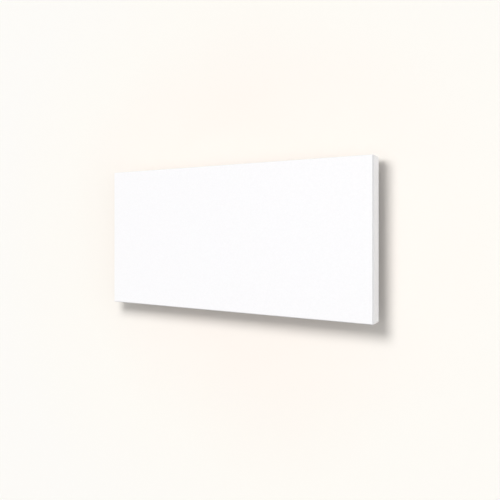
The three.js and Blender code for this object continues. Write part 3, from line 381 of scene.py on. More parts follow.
def loft(mesh, rings, closed=True):
    """Quads between successive rings of equal length."""
    for lower, upper in zip(rings, rings[1:]):
        count = len(lower)
        for i in range(count if closed else count - 1):
            j = (i + 1) % count
            mesh.faces.new((lower[i], lower[j], upper[j], upper[i]))


def capped(mesh, rings):
    """Closed solid from rings."""
    loft(mesh, rings)
    mesh.faces.new(rings[0])
    mesh.faces.new(rings[-1])


def fill(mesh, loops):
    """Flat sheet between an outline and its holes, all given as rings of vertices."""
    edges = []
    for loop in loops:
        for a, b in zip(loop, loop[1:] + loop[:1]):
            edges.append(mesh.edges.get((a, b)) or mesh.edges.new((a, b)))
    bmesh.ops.triangle_fill(mesh, use_beauty=True, use_dissolve=False, edges=edges)


def linked(name, data):
    """Object with that mesh, lamp or camera, in the scene."""
    thing = bpy.data.objects.new(name, data)
    bpy.context.scene.collection.objects.link(thing)
    return thing


def new_object(name, mesh, finish, smooth=30):
    """Object from a bmesh, with outward faces and smooth shading below an angle in degrees."""
    bmesh.ops.recalc_face_normals(mesh, faces=mesh.faces)
    data = bpy.data.meshes.new(name)
    mesh.to_mesh(data)
    mesh.free()
    data.materials.append(FINISH[finish])
    data.shade_smooth()
    data.set_sharp_from_angle(angle=math.radians(smooth))
    return linked(name, data)


def flatten_shading(thing):
    """Lets wide flat faces keep their own normal, so that only folds and rims shade softly."""
    normals = thing.modifiers.new("normals", "WEIGHTED_NORMAL")
    normals.keep_sharp = True
    normals.weight = 90


def thicken(thing, millimetres, edge=0.0, offset=-1.0):
    """Sheet thickness, and an edge deburred by so many millimetres."""
    sheet = thing.modifiers.new("sheet", "SOLIDIFY")
    sheet.thickness = millimetres * MM
    sheet.offset = offset
    sheet.use_even_offset = True
    if edge:
        bevel = thing.modifiers.new("edge", "BEVEL")
        bevel.width = edge * MM
        bevel.segments = 2
        bevel.limit_method = "ANGLE"
        bevel.angle_limit = math.radians(40)
    flatten_shading(thing)


def stands_for(thing, body, slot, *nodes):
    """The piece rides on its body and hides the nodes that it stands for. The slot is not used."""
    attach(thing, body)
    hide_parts(*nodes)


# %% [markdown]
# ## Front tray
#
# The real tray is one blank of 1 mm steel. Its four sides are folded back, the corners are welded and ground
# to a small radius, and the back edges are folded in again as flanges for the cover. The long folds at the
# top and bottom are round; the short ones are coined, pressed to a narrow facet that shows as a fine line
# beside the front. So the surface is made as rings that run round the case, from the front face over the
# folds to the back, and four flanges with mitred ends; Solidify then gives the sheet its thickness towards
# the inside.

# %% Tray dimensions
CASE_WIDTH, CASE_HEIGHT = 600, 295
TRAY_FRONT, TRAY_BACK = -56.1, -21.1
TRAY_SHEET = 1.0
FOLD_RADIUS, FOLD_STEPS = 2.0, 8
FACET_WIDTH, FACET_DEPTH = 2.4, 4.0
WELD_RADIUS, WELD_LEAST, WELD_STEPS = 1.5, 0.15, 6
FLANGE, MITRE = 16, 0.97

# %% Front, folds and sides
def case_ring(mesh, side_inset, long_inset, y):
    """Ring round the case, set in from its short sides and from its long ones."""
    corner = max(WELD_RADIUS - long_inset, WELD_LEAST)
    width, height = CASE_WIDTH - 2 * side_inset, CASE_HEIGHT - 2 * long_inset
    return flat_ring(mesh, rounded_rectangle(width, height, corner, WELD_STEPS), y)


tray = bmesh.new()
fold = arc(FOLD_RADIUS, FOLD_RADIUS, FOLD_RADIUS, 270, 180, FOLD_STEPS) + [(0, FACET_DEPTH)]
fold_rings = [case_ring(tray, FACET_WIDTH * (1 - depth / FACET_DEPTH), long_inset, TRAY_FRONT + depth)
              for long_inset, depth in fold]
tray.faces.new(fold_rings[0])
back_ring = case_ring(tray, 0, 0, TRAY_BACK - FOLD_RADIUS)
loft(tray, [*fold_rings, back_ring])
print("tray rings:", len(fold_rings) + 1, "of", len(back_ring), "points")


# %% Return flanges
def flange_strip(mesh, start, end, inward):
    """Folded flange on one side, between two vertices of the back ring; its free edge is mitred."""
    along = (end.co - start.co).normalized()
    rings = [[start, end]]
    for inset, rise in arc(FOLD_RADIUS, 0, FOLD_RADIUS, 180, 90, FOLD_STEPS)[1:]:
        shift = inward * inset * MM + Vector((0, rise * MM, 0))
        rings.append([mesh.verts.new(start.co + shift), mesh.verts.new(end.co + shift)])
    reach = (FLANGE - FOLD_RADIUS) * MM
    mitre = along * reach * MITRE
    low, high = [vertex.co + inward * reach for vertex in rings[-1]]
    rings.append([mesh.verts.new(low + mitre), mesh.verts.new(high - mitre)])
    loft(mesh, rings, closed=False)


corner_points = len(back_ring) // 4
for side, inward in enumerate([(0, 0, -1), (1, 0, 0), (0, 0, 1), (-1, 0, 0)]):
    last = (side + 1) * corner_points - 1
    flange_strip(tray, back_ring[last], back_ring[(last + 1) % len(back_ring)], Vector(inward))
front_tray = new_object("tray_skin", tray, "white_powder_coat")
thicken(front_tray, TRAY_SHEET, edge=0.12)
stands_for(front_tray, "panel", "white_powder_coat", "front_tray")
print("tray faces before thickness:", len(front_tray.data.polygons))

# %% [markdown]
# ## Rear cover
#
# A thin sheet would drum and buckle when it heats, so the press forms four long beads into it, 16 mm wide and
# 4 mm deep, towards the room. Each bead is a loft of slot-shaped rings that get narrower as they get deeper,
# with a small radius where they leave the flat. The flat between them is filled round the beads and the
# screw holes.

# %% Cover dimensions
COVER_BACK, COVER_SHEET = -20.0, 0.8
COVER_WIDTH, COVER_HEIGHT = 595, 290
COVER_CORNER, CORNER_STEPS = 2, 4
BEADS = [(-264, 264, 90), (-264, 264, 0), (-264, -55, -90), (55, 264, -90)]
BEAD_RADIUS = 8.0
BEAD_PROFILE = [(-1.4, 0.0), (-1.0, 0.0), (-0.4, 0.12), (0.1, 0.5), (0.5, 1.1), (1.0, 1.9), (1.8, 2.7),
                (2.8, 3.35), (4.2, 3.8), (5.8, 4.0), (7.2, 4.0)]
print("beads:", len(BEADS), "with", len(BEAD_PROFILE), "rings each, (inset, depth)")

# %% Places on the cover, (x, z)
COVER_SCREWS = [(-250, 138.5), (0, 138.5), (250, 138.5), (-250, -138.5), (0, -138.5), (250, -138.5),
                (-291, 0), (291, 0)]
STUD_X, STUD_Z = 200, 60
STUDS = [(x, z) for z in (STUD_Z, -STUD_Z) for x in (-STUD_X, STUD_X)]
BOX_Z = -95
BOX_SCREWS = [(-31.5, BOX_Z), (31.5, BOX_Z)]
LEAD_HOLE, EARTH_STUD = (15, -85), (15, -106)
COVER_HOLES = [(COVER_SCREWS, 1.9), (STUDS, 2.8), (BOX_SCREWS, 1.8), ([LEAD_HOLE], 5.3), ([EARTH_STUD], 2.3)]

# %% Cover sheet with pressed beads
cover = bmesh.new()
outline = rounded_rectangle(COVER_WIDTH, COVER_HEIGHT, COVER_CORNER, CORNER_STEPS)
loops = [flat_ring(cover, outline, COVER_BACK)]
for left, right, z in BEADS:
    ends = left + BEAD_RADIUS, right - BEAD_RADIUS
    rings = [flat_ring(cover, stadium(*ends, z, BEAD_RADIUS - inset), COVER_BACK - depth)
             for inset, depth in BEAD_PROFILE]
    loft(cover, rings)
    cover.faces.new(rings[-1])
    loops.append(rings[0])
for holes, radius in COVER_HOLES:
    loops += [flat_ring(cover, circle(*hole, radius, HOLE_STEPS), COVER_BACK) for hole in holes]
fill(cover, loops)
rear_cover = new_object("cover_sheet", cover, "galvanised", smooth=50)
thicken(rear_cover, COVER_SHEET)
stands_for(rear_cover, "panel", "galvanised", "rear_cover")
print("cover faces before thickness:", len(rear_cover.data.polygons))

# %% [markdown]
# ## Screws, studs and rivets
#
# Round parts come off a lathe or a heading machine, so they are turned here from a profile too. The cross
# recess of a screw and the hex socket of a stud are punched in: a tapered tool is subtracted with a Boolean
# modifier, and the result is kept as one mesh that all like screws share.

# %% Turning and punching
def turned(name, profile, finish, steps=32):
    """Piece about the Y axis, from (radius, y) points that end on the axis or close on themselves."""
    mesh = bmesh.new()
    rings = [flat_ring(mesh, circle(0, 0, radius, steps) if radius else [(0, 0)], y) for radius, y in profile]
    for lower, upper in zip(rings, rings[1:]):
        if len(lower) == 1 or len(upper) == 1:
            tip, loop = (lower[0], upper) if len(lower) == 1 else (upper[0], lower)
            for i in range(steps):
                mesh.faces.new((tip, loop[i], loop[(i + 1) % steps]))
        else:
            loft(mesh, [lower, upper])
    bmesh.ops.remove_doubles(mesh, verts=mesh.verts, dist=1e-7)
    return new_object(name, mesh, finish, smooth=35)


def punch_tool(outline_at, depths):
    """Closed tool from the outlines, (x, z), that a share gives, for each (share, y)."""
    mesh = bmesh.new()
    capped(mesh, [flat_ring(mesh, outline_at(share), y) for share, y in depths])
    return new_object("punch", mesh, "zinc_fastener")


def round_punch(x, z, radius, low, high, steps=32):
    return punch_tool(lambda share: circle(x, z, radius * share, steps), [(1.0, low), (1.0, high)])


def punched(thing, tool, operation="DIFFERENCE"):
    """The piece with the tool taken away, or joined to it, in its mesh."""
    cut = thing.modifiers.new("punch", "BOOLEAN")
    cut.operation = operation
    cut.solver = "EXACT"
    cut.object = tool
    graph = bpy.context.evaluated_depsgraph_get()
    data = bpy.data.meshes.new_from_object(thing.evaluated_get(graph))
    thing.modifiers.clear()
    thing.data = data
    bpy.data.objects.remove(tool)
    return thing


def copies(pattern, name, places, body, slot, node):
    """Like pieces that share one mesh, each standing for its own numbered node."""
    for number, (x, z) in enumerate(places, 1):
        thing = linked(f"{name}_{number}", pattern.data)
        thing.location = at(x, 0, z)
        stands_for(thing, body, slot, f"{node}_{number}")
    bpy.data.objects.remove(pattern)


# %% [markdown]
# A pan-head screw has the same form in every size, so its details are shares of its own radius and head: the
# thread's pitch and root, the upright rim under the dome, and the cross recess with its narrower end. Between
# faces that rest on each other the CAD leaves 0.3 mm, and the seats of the screws and of the box keep it.

# %% Pan-head screws with a cross recess
THREAD_PITCH, THREAD_ROOT = 0.5, 0.8
HEAD_RIM, DOME_ROUND = 0.3, 0.6
RECESS_REACH, RECESS_WIDTH, RECESS_DEPTH, RECESS_END = 0.6, 0.26, 0.85, 0.4


def cross_outline(reach, width):
    """Cross with four arms, for a screw recess."""
    w, r = width / 2, reach
    return [(w, w), (w, r), (-w, r), (-w, w), (-r, w), (-r, -w),
            (-w, -w), (-w, -r), (w, -r), (w, -w), (r, -w), (r, w)]


def pan_screw(name, radius, head_radius, head, seat, length):
    """Screw with its head's underside at y = seat."""
    tip, top, pitch = seat - length, seat + head, radius * THREAD_PITCH
    slopes = [math.radians(angle) for angle in range(0, 90, 10)]
    dome = [(head_radius * math.cos(a) ** DOME_ROUND, seat + head * (HEAD_RIM + (1 - HEAD_RIM) * math.sin(a)))
            for a in slopes]
    thread = []
    y = tip + 2 * radius
    while y < seat - pitch:
        thread += [(radius * THREAD_ROOT, y), (radius, y + pitch / 2)]
        y += pitch
    profile = [(0, tip), (radius * 0.35, tip + radius * 0.5), *thread, (radius, seat - 0.2), (radius, seat),
               (head_radius * 0.96, seat), (head_radius, seat + 0.1), *dome, (0, top)]
    reach, width = head_radius * RECESS_REACH, head_radius * RECESS_WIDTH
    recess = punch_tool(lambda share: cross_outline(reach * share, width * (0.5 + 0.5 * share)),
                        [(1.0, top + 0.5), (1.0, top - 0.1), (RECESS_END, top - head * RECESS_DEPTH)])
    return punched(turned(name, profile, "zinc_fastener", steps=28), recess)


SEAT_GAP = 0.3
COVER_SEAT = COVER_BACK + SEAT_GAP
LID_SEAT = -2.7
cover_pattern = pan_screw("cover_screw_pattern", radius=1.6, head_radius=3.3, head=2.0,
                          seat=COVER_SEAT, length=8)
copies(cover_pattern, "pan_screw", COVER_SCREWS, "panel", "zinc_fastener", "cover_screw")
lid_pattern = pan_screw("lid_screw_pattern", radius=1.5, head_radius=2.8, head=1.4,
                        seat=LID_SEAT, length=20.6)
copies(lid_pattern, "box_screw", BOX_SCREWS, "panel", "zinc_fastener", "lid_screw")
print("screws:", len(COVER_SCREWS) + len(BOX_SCREWS))

# %% [markdown]
# A stud has a thread for the nut inside the case, a neck that slides in the keyhole and a head with a hex
# socket. A nylon spacer keeps the bracket off the cover, and blind rivets join the bar to the rails. The
# numbers in each profile are (radius, y), and those of the socket are (share of its width, y).

# %% Shoulder studs with a hex socket
STUD_PROFILE = [(0, -26.3), (2.2, -26.3), (2.5, -26.0), (2.5, COVER_SEAT), (3.0, COVER_SEAT), (3.0, -14.2),
                (5.3, -14.2), (5.5, -14.0), (5.5, -12.6), (5.35, -12.1), (5.0, -11.8), (4.5, -11.7),
                (0, -11.7)]
SOCKET_WIDTH = 4.0
SOCKET_DEPTHS = [(1.12, -11.2), (1.12, -11.7), (1.0, -11.9), (1.0, -13.4), (0.3, -14.0)]

stud = turned("stud_pattern", STUD_PROFILE, "zinc_fastener", steps=40)
socket = punch_tool(lambda share: circle(0, 0, SOCKET_WIDTH * share / math.sqrt(3), 6), SOCKET_DEPTHS)
copies(punched(stud, socket), "shoulder_stud", STUDS, "panel", "zinc_fastener", "hanging_stud")

# %% Spacers
SPACER_PROFILE = [(3.3, COVER_SEAT), (5.7, COVER_SEAT), (6.0, COVER_SEAT + 0.3), (6.0, -16.6), (5.7, -16.3),
                  (3.3, -16.3), (3.3, COVER_SEAT)]
spacer = turned("spacer_pattern", SPACER_PROFILE, "black_plastic", steps=40)
copies(spacer, "nylon_spacer", STUDS, "panel", "black_plastic", "stud_spacer")

# %% Blind rivets
RIVET_X, RIVET_Z = 173.75, 8
RIVETS = [(x, z) for x in (-RIVET_X, RIVET_X) for z in (-RIVET_Z, RIVET_Z)]
RIVET_PROFILE = [(0, -0.3), (1.5, -0.3), (1.6, -0.4), (1.6, -3.6), (3.4, -3.6), (3.4, -3.75), (3.1, -4.2),
                 (2.5, -4.55), (1.7, -4.78), (1.05, -4.8), (1.0, -4.5), (0.9, -4.2), (0, -4.1)]
rivet = turned("rivet_pattern", RIVET_PROFILE, "zinc_fastener")
copies(rivet, "blind_rivet", RIVETS, "bracket", "zinc_fastener", "bracket_rivet")
print("studs, spacers and rivets:", 2 * len(STUDS) + len(RIVETS))

# %% [markdown]
# ## Wall bracket
#
# Each rail is a hat section, folded from 1.5 mm sheet: two feet lie on the wall and the web stands off it,
# with two keyholes that the studs drop into. The cross-bar keeps the rails at their distance while the
# installer marks the wall. Its ends are joggled, pressed up in a small step, so that they lie on the rails'
# feet while its middle lies on the wall. Both are drawn as a section on the middle of the sheet: the flat
# strips get their holes, the folds are plain, and Solidify grows the sheet evenly to both sides.

# %% Folded sheet
BRACKET_SHEET = 1.5
FOOT_Y = -0.75
SLOT_HALF, SLOT_RADIUS = 2.25, 2.75
RIVET_HOLE = 1.9
BRACKET_EDGE = 0.2


def rivet_holes(x):
    return [circle(x, z, RIVET_HOLE, HOLE_STEPS) for z in (-RIVET_Z, RIVET_Z)]


def folded(name, section, half_length, holes, order=None):
    """Sheet along a section, (x, y); holes gives the outlines, (x, z), under the number of their flat strip.
    The strips are made in the given order, or else with the holed ones last."""
    mesh = bmesh.new()
    lines = [ring_of(mesh, [(x, y, -half_length), (x, y, half_length)]) for x, y in section]
    strips = [[a[0], a[1], b[1], b[0]] for a, b in zip(lines, lines[1:])]
    for i in order or [i for i in range(len(strips)) if i not in holes] + list(holes):
        if i in holes:
            fill(mesh, [strips[i]] + [flat_ring(mesh, outline, section[i][1]) for outline in holes[i]])
        else:
            mesh.faces.new(strips[i])
    thing = new_object(name, mesh, "bracket_paint")
    thicken(thing, BRACKET_SHEET, edge=BRACKET_EDGE, offset=0.0)
    return thing


# %% Hat rails with keyholes
RAIL_HALF = 100
RAIL_BEND, BEND_STEPS = 2.5, 6
WEB_Y = -15.25
RAIL_WALL, FOOT_EDGE = 17.25, 32.0
FOOT_HOLE_X, FOOT_HOLE_Z = 26.25, 85
KEYHOLE_SLOT, KEYHOLE_ROUND, KEYHOLE_LIFT = 3.3, 6.3, 10


def keyhole(x, z):
    """A slot for the stud's neck below, and a round end that passes its head above."""
    meet = math.degrees(math.asin(KEYHOLE_SLOT / KEYHOLE_ROUND))
    return (arc(x, z, KEYHOLE_SLOT, 180, 360, ROUND_STEPS // 2)
            + arc(x, z + KEYHOLE_LIFT, KEYHOLE_ROUND, meet - 90, 270 - meet, ROUND_STEPS))


def upright_slot(x, z):
    return [(x + across, z + up) for up, across in stadium(-SLOT_HALF, SLOT_HALF, 0, SLOT_RADIUS)]


def rail(name, middle, inner):
    """Rail about x = middle; inner is the side with the rivets, +1 for right."""
    half = [(-FOOT_EDGE, FOOT_Y)]
    half += arc(-RAIL_WALL - RAIL_BEND, FOOT_Y - RAIL_BEND, RAIL_BEND, 90, 0, BEND_STEPS)
    half += arc(-RAIL_WALL + RAIL_BEND, WEB_Y + RAIL_BEND, RAIL_BEND, 180, 270, BEND_STEPS)
    section = half + [(-x, y) for x, y in reversed(half)]
    outer_x, inner_x = middle - inner * FOOT_HOLE_X, middle + inner * FOOT_HOLE_X
    outer = [circle(outer_x, z, SLOT_RADIUS, ROUND_STEPS) for z in (-FOOT_HOLE_Z, FOOT_HOLE_Z)]
    inner_foot = [upright_slot(inner_x, z) for z in (-FOOT_HOLE_Z, FOOT_HOLE_Z)] + rivet_holes(inner_x)
    left, right = (outer, inner_foot) if inner > 0 else (inner_foot, outer)
    keyholes = [keyhole(middle, z) for z in (-STUD_Z, STUD_Z)]
    return folded(name, [(middle + x, y) for x, y in section], RAIL_HALF,
                  {0: left, len(half) - 1: keyholes, len(section) - 2: right})


for side, middle, inner in (("left", -STUD_X, 1), ("right", STUD_X, -1)):
    hat = rail(f"hat_rail_{side}", middle, inner)
    stands_for(hat, "bracket", "bracket_paint", f"hanging_rail_{side}")
print("rail faces before thickness:", len(hat.data.polygons))

# %% Joggled cross-bar
BAR_HALF = 15
BAR_END_Y = -2.55
BAR_SLOT_X = 90
BAR_STEPS = [(-178, BAR_END_Y), (-168.5, BAR_END_Y), (-167.3, -2.3), (-165, -1.0), (-163.8, FOOT_Y)]
bar_section = BAR_STEPS + [(-x, y) for x, y in reversed(BAR_STEPS)]
bar_slots = [stadium(x - SLOT_HALF, x + SLOT_HALF, 0, SLOT_RADIUS) for x in (-BAR_SLOT_X, BAR_SLOT_X)]
cross_bar = folded("joggled_bar", bar_section, BAR_HALF,
                   {0: rivet_holes(-RIVET_X), 4: bar_slots, 8: rivet_holes(RIVET_X)},
                   order=range(len(bar_section) - 1))
stands_for(cross_bar, "bracket", "bracket_paint", "cross_bar")
print("bar faces before thickness:", len(cross_bar.data.polygons))

# %% [markdown]
# ## Terminal box
#
# The box is moulded in black nylon, 2 mm thick: a base with rounded edges, two bosses for the lid's screws
# and a threaded spigot for the cable, and a lid. The base is one closed surface of rings that run up its
# outside, over the rim and down its inside. Bosses and spigot are joined to it and the holes are punched, as
# cores do in the tool. A ring's two numbers are how far it is set in and its y.

# %% Box base
BOX_WIDTH, BOX_HEIGHT = 70, 50
BOX_CORNER, BOX_CORNER_LEAST, BOX_CORNER_STEPS = 4, 0.4, 8
BOX_FLOOR, BOX_RIM = COVER_SEAT, -5.3
BASE_RINGS = [(0.6, BOX_FLOOR), (0.2, BOX_FLOOR + 0.2), (0.0, BOX_FLOOR + 0.6), (0.0, BOX_RIM - 0.25),
              (0.25, BOX_RIM), (1.8, BOX_RIM), (2.0, BOX_RIM - 0.2), (2.0, BOX_FLOOR + 2.6),
              (2.2, BOX_FLOOR + 2.2), (2.6, BOX_FLOOR + 2.0)]
BOSS_RADIUS, SCREW_HOLE = 3.4, 1.8
BASE_HOLES = [(*place, SCREW_HOLE) for place in BOX_SCREWS] + [(*LEAD_HOLE, 5.3), (*EARTH_STUD, 4.5)]


def box_ring(mesh, inset, y):
    corner = max(BOX_CORNER - inset, BOX_CORNER_LEAST)
    outline = rounded_rectangle(BOX_WIDTH - 2 * inset, BOX_HEIGHT - 2 * inset, corner, BOX_CORNER_STEPS)
    return flat_ring(mesh, [(x, z + BOX_Z) for x, z in outline], y)


base = bmesh.new()
capped(base, [box_ring(base, inset, y) for inset, y in BASE_RINGS])
box_base = new_object("box_moulding", base, "black_plastic")
for x, z in BOX_SCREWS:
    punched(box_base, round_punch(x, z, BOSS_RADIUS, BOX_FLOOR + 0.4, BOX_RIM), "UNION")
print("box base faces with its bosses:", len(box_base.data.polygons))

# %% Threaded spigot, bore and holes
INLET_Y, INLET_STEPS = -11.35, 40
SPIGOT_ROOT, SPIGOT_END = -118.5, -130.0
CREST_RADIUS, GROOVE_RADIUS, HALF_PITCH, THREAD_RINGS = 5.95, 5.7, 0.5, 19
BORE_RADIUS = 4.95


def upright_ring(mesh, z, radius):
    """Ring about the inlet's axis."""
    return ring_of(mesh, [(x, INLET_Y + y, z) for x, y in circle(0, 0, radius, INLET_STEPS)])


def upright_tool(name, profile):
    """Closed tool about the inlet's axis, from (radius, z)."""
    mesh = bmesh.new()
    capped(mesh, [upright_ring(mesh, z, radius) for radius, z in profile])
    return new_object(name, mesh, "black_plastic")


threads = [(GROOVE_RADIUS if i % 2 else CREST_RADIUS, SPIGOT_ROOT - 1.8 - HALF_PITCH * i)
           for i in range(THREAD_RINGS)]
shank = [(CREST_RADIUS, SPIGOT_ROOT), (CREST_RADIUS, SPIGOT_ROOT - 1.6)]
punched(box_base, upright_tool("spigot", [*shank, *threads, (5.6, SPIGOT_END)]), "UNION")
punched(box_base, upright_tool("bore", [(BORE_RADIUS, BOX_Z - 20), (BORE_RADIUS, SPIGOT_END - 2)]))
for x, z, radius in BASE_HOLES:
    punched(box_base, round_punch(x, z, radius, BOX_FLOOR - 1, BOX_RIM + 1))
flatten_shading(box_base)
stands_for(box_base, "panel", "black_plastic", "terminal_box_base")
print("box base faces:", len(box_base.data.polygons))

# %% [markdown]
# The lid is a 2 mm plate with a locating lip, a rounded rim, and a shallow sunk field that hides sink marks.
# Rings that follow its outline give the rim, and the screw holes are punched afterwards.

# %% Lid
LID_INSIDE, LID_BACK = -5.0, -3.0
LID_RINGS = [(2.3, -6.3), (2.3, LID_INSIDE), (0.2, LID_INSIDE), (0.0, LID_INSIDE + 0.2),
             (0.0, LID_BACK - 0.8), (0.25, LID_BACK - 0.3), (0.8, LID_BACK), (2.6, LID_BACK),
             (3.0, LID_BACK - 0.35)]

lid = bmesh.new()
capped(lid, [box_ring(lid, inset, y) for inset, y in LID_RINGS])
box_lid = new_object("lid_moulding", lid, "black_plastic")
for x, z in BOX_SCREWS:
    punched(box_lid, round_punch(x, z, SCREW_HOLE, LID_INSIDE - 3, LID_BACK + 2, steps=24))
flatten_shading(box_lid)
stands_for(box_lid, "panel", "black_plastic", "terminal_box_lid")
print("lid faces:", len(box_lid.data.polygons))

# %% [markdown]
# ## Cable inlet
#
# A clamping nut squeezes the rubber seal round the cable. It is a hexagon for the spanner that turns into a
# ribbed dome. Rings of equal point count change from a rounded hexagon to a circle on their way down, then
# turn inwards through the bore and back up the inside, so that the nut is one closed solid. A row of numbers
# gives a ring's z, its half width, its roundness and the depth of its ribs.

# %% Inlet nut
NUT_TOP, NUT_END = -120.3, -133.5
NUT_POINTS, NUT_RIBS = 72, 24
HEX_CORNER = 1.11
NUT_RINGS = [(NUT_TOP, 6.25, 1), (NUT_TOP, 7.1, 1), (NUT_TOP - 0.4, 7.5, 0), (-129.2, 7.5, 0),
             (-129.6, 7.45, 1), (-130.4, 7.35, 1, 0.25), (-131.6, 6.95, 1, 0.3), (-132.7, 6.2, 1, 0.25),
             (-133.3, 5.2, 1), (NUT_END, 4.4, 1), (NUT_END, 3.7, 1), (NUT_END + 0.4, 3.25, 1),
             (NUT_END + 1.5, 3.25, 1), (NUT_END + 1.5, 6.25, 1)]


def nut_ring(mesh, z, size, roundness, ribs=0.0):
    """Ring at a height: roundness 0 is a hexagon of that half flat, 1 is a circle."""
    points = []
    for i in range(NUT_POINTS):
        angle = 2 * math.pi * i / NUT_POINTS
        off = (angle + math.pi / 6) % (math.pi / 3) - math.pi / 6
        hexed = min(size / math.cos(off), size * HEX_CORNER)
        radius = hexed * (1 - roundness) + size * roundness
        radius -= ribs * (0.5 - 0.5 * math.cos(NUT_RIBS * angle))
        points.append((radius * math.sin(angle), INLET_Y + radius * math.cos(angle), z))
    return ring_of(mesh, points)


nut = bmesh.new()
nut_rings = [nut_ring(nut, *ring) for ring in NUT_RINGS]
loft(nut, nut_rings + nut_rings[:1])
stands_for(new_object("clamping_nut", nut, "black_plastic"), "panel", "black_plastic", "inlet_nut")
print("nut rings:", len(nut_rings))

# %% [markdown]
# The seal is a rubber sleeve inside the spigot. Its mouth is flared, so that the cable does not catch on it.

# %% Inlet seal
SEAL_PROFILE = [(3.25, -120.0), (3.25, -130.6), (3.5, -131.3), (4.0, -131.7), (5.6, -131.7), (5.9, -131.4),
                (5.9, -130.5), (5.75, -130.3), (4.65, -130.3), (4.65, -120.2), (4.4, -120.0)]
sleeve = bmesh.new()
seal_rings = [upright_ring(sleeve, z, radius) for radius, z in SEAL_PROFILE]
loft(sleeve, seal_rings + seal_rings[:1])
stands_for(new_object("seal_sleeve", sleeve, "seal_rubber"), "panel", "seal_rubber", "inlet_seal")
print("seal rings:", len(seal_rings))

# %% [markdown]
# ## Room, light and camera
#
# The heater hangs on a cream wall, about a metre above a pale floor. The bracket's feet touch the wall, and
# two surfaces in one place flicker in a render, so the wall is drawn 0.3 mm further back. Seen from behind,
# it must not hide the heater: camera rays pass through its back, and so does light that falls on the panel's
# back at the first bounce. Light that the wall itself catches is unchanged, and so is the shadow on it.

# %% Cream wall and pale floor
def wall_paint():
    material, tree, shader, where = new_material("cream_wall_emulsion")
    # Painted shade: the wall is painted a little darker and warmer within about 0.35 m of the heater's
    # middle, and paler and more neutral out to 0.9 m. A wide noise bends the edge of that painted shade.
    away = add(tree, "ShaderNodeVectorMath", {0: where}, operation="LENGTH")
    cloud = maths(tree, "MULTIPLY", grain(tree, where, 400.0), 0.2)
    distance = maths(tree, "ADD", (away, "Value"), cloud)
    cream_with_painted_shade = ramp(tree, distance, (0.35, "F4EDE6"), (0.6, "F4F1EB"), (0.9, "F3F1ED"))
    connect(tree, shader, {"Base Color": cream_with_painted_shade, "Roughness": 0.9, "Specular IOR Level": 0.2})
    relief(tree, shader, grain(tree, where, 4.0, detail=3.0), 0.1, 0.3)
    path = add(tree, "ShaderNodeLightPath", {})
    side = add(tree, "ShaderNodeNewGeometry", {})
    first = maths(tree, "LESS_THAN", (path, "Ray Depth"), 1.5)
    light = maths(tree, "MAXIMUM", (path, "Is Shadow Ray"), (path, "Is Glossy Ray"))
    passes = maths(tree, "MULTIPLY", first, light)
    clear = add(tree, "ShaderNodeMix",
                {"Factor": (path, "Is Camera Ray"), "A": passes, "B": (side, "Backfacing")})
    glass = add(tree, "ShaderNodeBsdfTransparent", {})
    mixed = add(tree, "ShaderNodeMixShader", {0: clear, 1: shader, 2: glass})
    connect(tree, tree.nodes["Material Output"], {"Surface": mixed})
    return material


def floor_paint():
    material, tree, shader, where = new_material("pale_floor")
    tone = ramp(tree, grain(tree, where, 300.0), (0.3, "BFBDB9"), (0.7, "C3C1BD"))
    connect(tree, shader, {"Base Color": tone, "Roughness": 0.8})
    return material


def stage_plane(name, corners, material):
    """Four-cornered plane of the room, given in metres."""
    data = bpy.data.meshes.new(name)
    data.from_pydata([Vector(c) for c in corners], [], [(0, 1, 2, 3)])
    data.materials.append(material)
    thing = linked(name, data)
    return thing


FLOOR_Z, WALL_TOP = -1.0, 1.6
WALL_Y = 0.3 * MM
REACH = 4.0
stage_plane("room_wall", [(-REACH, WALL_Y, FLOOR_Z), (REACH, WALL_Y, FLOOR_Z),
                          (REACH, WALL_Y, WALL_TOP), (-REACH, WALL_Y, WALL_TOP)], wall_paint())
room_floor = stage_plane("room_floor", [(-REACH, -REACH, FLOOR_Z), (REACH, -REACH, FLOOR_Z),
                                       (REACH, REACH, FLOOR_Z), (-REACH, REACH, FLOOR_Z)], floor_paint())
room_floor.visible_diffuse = False

# %% [markdown]
# The light is a small studio. A soft box 0.36 m across hangs 0.8 m in front of the wall, above the panel. It
# is so near that its rays spread, and the soft shadow comes out below the panel and past both its ends. A
# near lamp would also leave a bright spot on the wall, so its nodes even it out: the Light Falloff node takes
# the distance out of the light, and the ray's length makes up for the slant at which it meets the wall. A
# broad wash from the front darkens the wall close round the panel, as daylight does in a room. A broad,
# weaker light comes along the wall from the right, where a white screen would stand, and keeps the side
# bright. A little fill without a shadow lifts the dark parts. Two lamps behind the wall light the back for
# views from there; the narrower one stays out of reflections, so that bare metal keeps its grey. Their light
# comes through the wall as shadow rays only, so Cycles must not look for these lamps in any other way:
# multiple importance sampling is off for them.

# %% World and lamps
AMBIENT, BACKDROP = 0.15, 0.93


def glow():
    """Even light from all sides, behind which cameras and mirrors see a pale backdrop."""
    world = bpy.data.worlds.new("studio")
    world.use_nodes = True
    tree = world.node_tree
    tree.nodes.clear()
    path = add(tree, "ShaderNodeLightPath", {})
    light = add(tree, "ShaderNodeBackground", {"Color": (1, 1, 1, 1), "Strength": AMBIENT})
    seen = add(tree, "ShaderNodeBackground", {"Color": linear("FDFBF8"), "Strength": BACKDROP})
    direct = maths(tree, "MAXIMUM", (path, "Is Camera Ray"), (path, "Is Glossy Ray"))
    shown = maths(tree, "MAXIMUM", direct, (path, "Is Transmission Ray"))
    mixed = add(tree, "ShaderNodeMixShader", {0: shown, 1: light, 2: seen})
    add(tree, "ShaderNodeOutputWorld", {"Surface": mixed})
    bpy.context.scene.world = world


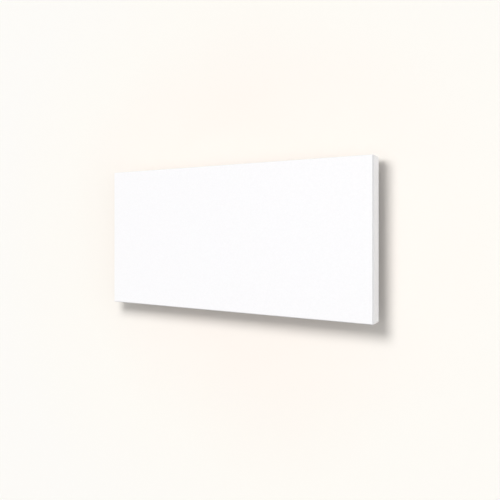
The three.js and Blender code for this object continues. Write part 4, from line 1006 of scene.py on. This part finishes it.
def sun(name, towards, energy, width, shadow=True, tint="FFFFFF"):
    """Distant lamp that shines from that direction, with its apparent width in degrees."""
    data = bpy.data.lights.new(name, "SUN")
    data.energy = energy
    data.color = linear(tint)[:3]
    data.angle = math.radians(width)
    data.use_shadow = shadow
    thing = linked(name, data)
    thing.rotation_mode = "QUATERNION"
    thing.rotation_quaternion = Vector(towards).to_track_quat("Z", "Y")
    return thing


def soft_box(name, place, radius, energy):
    """Round soft lamp that lights a wall behind the heater evenly, however near it hangs."""
    data = bpy.data.lights.new(name, "POINT")
    data.energy = energy
    data.shadow_soft_size = radius * MM
    data.use_nodes = True
    tree = data.node_tree
    no_falloff = (add(tree, "ShaderNodeLightFalloff", {"Strength": 1.0}), "Constant")
    length = (add(tree, "ShaderNodeLightPath", {}), "Ray Length")
    connect(tree, tree.nodes["Emission"], {"Strength": maths(tree, "MULTIPLY", no_falloff, length)})
    thing = linked(name, data)
    thing.location = place
    thing.visible_camera = False


glow()
soft_box("soft_box", at(92, -785, 318), radius=180, energy=30.25)
sun("front_wash", towards=(0, -1, 0), energy=0.8, width=130)
sun("side_screen", towards=(0.92, -0.38, 0.08), energy=0.49, width=58, tint="F2F8FF")
sun("front_fill", towards=(0, -1, 0), energy=0.14, width=10, shadow=False)
back_light = sun("back_light", towards=(0.1, 1.0, 0.35), energy=1.0, width=60)
back_fill = sun("back_fill", towards=(0, 1, 0), energy=1.4, width=30)
back_fill.visible_glossy = False
for lamp in (back_light, back_fill):
    lamp.data.cycles.use_multiple_importance_sampling = False

# %% [markdown]
# The camera stands to the right of the panel at its height and looks straight ahead, turned to the left. Its
# lens is shifted down a little instead of tilting, which keeps the upright edges parallel.

# %% Camera
LENS, SENSOR = 36.8, 36
LENS_SHIFT = -0.041
CAMERA_PLACE = at(539, -931, 17.5)
TURN_LEFT = 28.87
NEAREST, FARTHEST = 0.05, 50

camera_data = bpy.data.cameras.new("camera")
camera_data.lens = LENS
camera_data.sensor_width = SENSOR
camera_data.shift_y = LENS_SHIFT
camera_data.clip_start, camera_data.clip_end = NEAREST, FARTHEST
camera = linked("camera", camera_data)
camera.location = CAMERA_PLACE
camera.rotation_euler = (math.radians(90), 0, math.radians(TURN_LEFT))
bpy.context.scene.camera = camera
bpy.context.scene.view_settings.view_transform = "Standard"
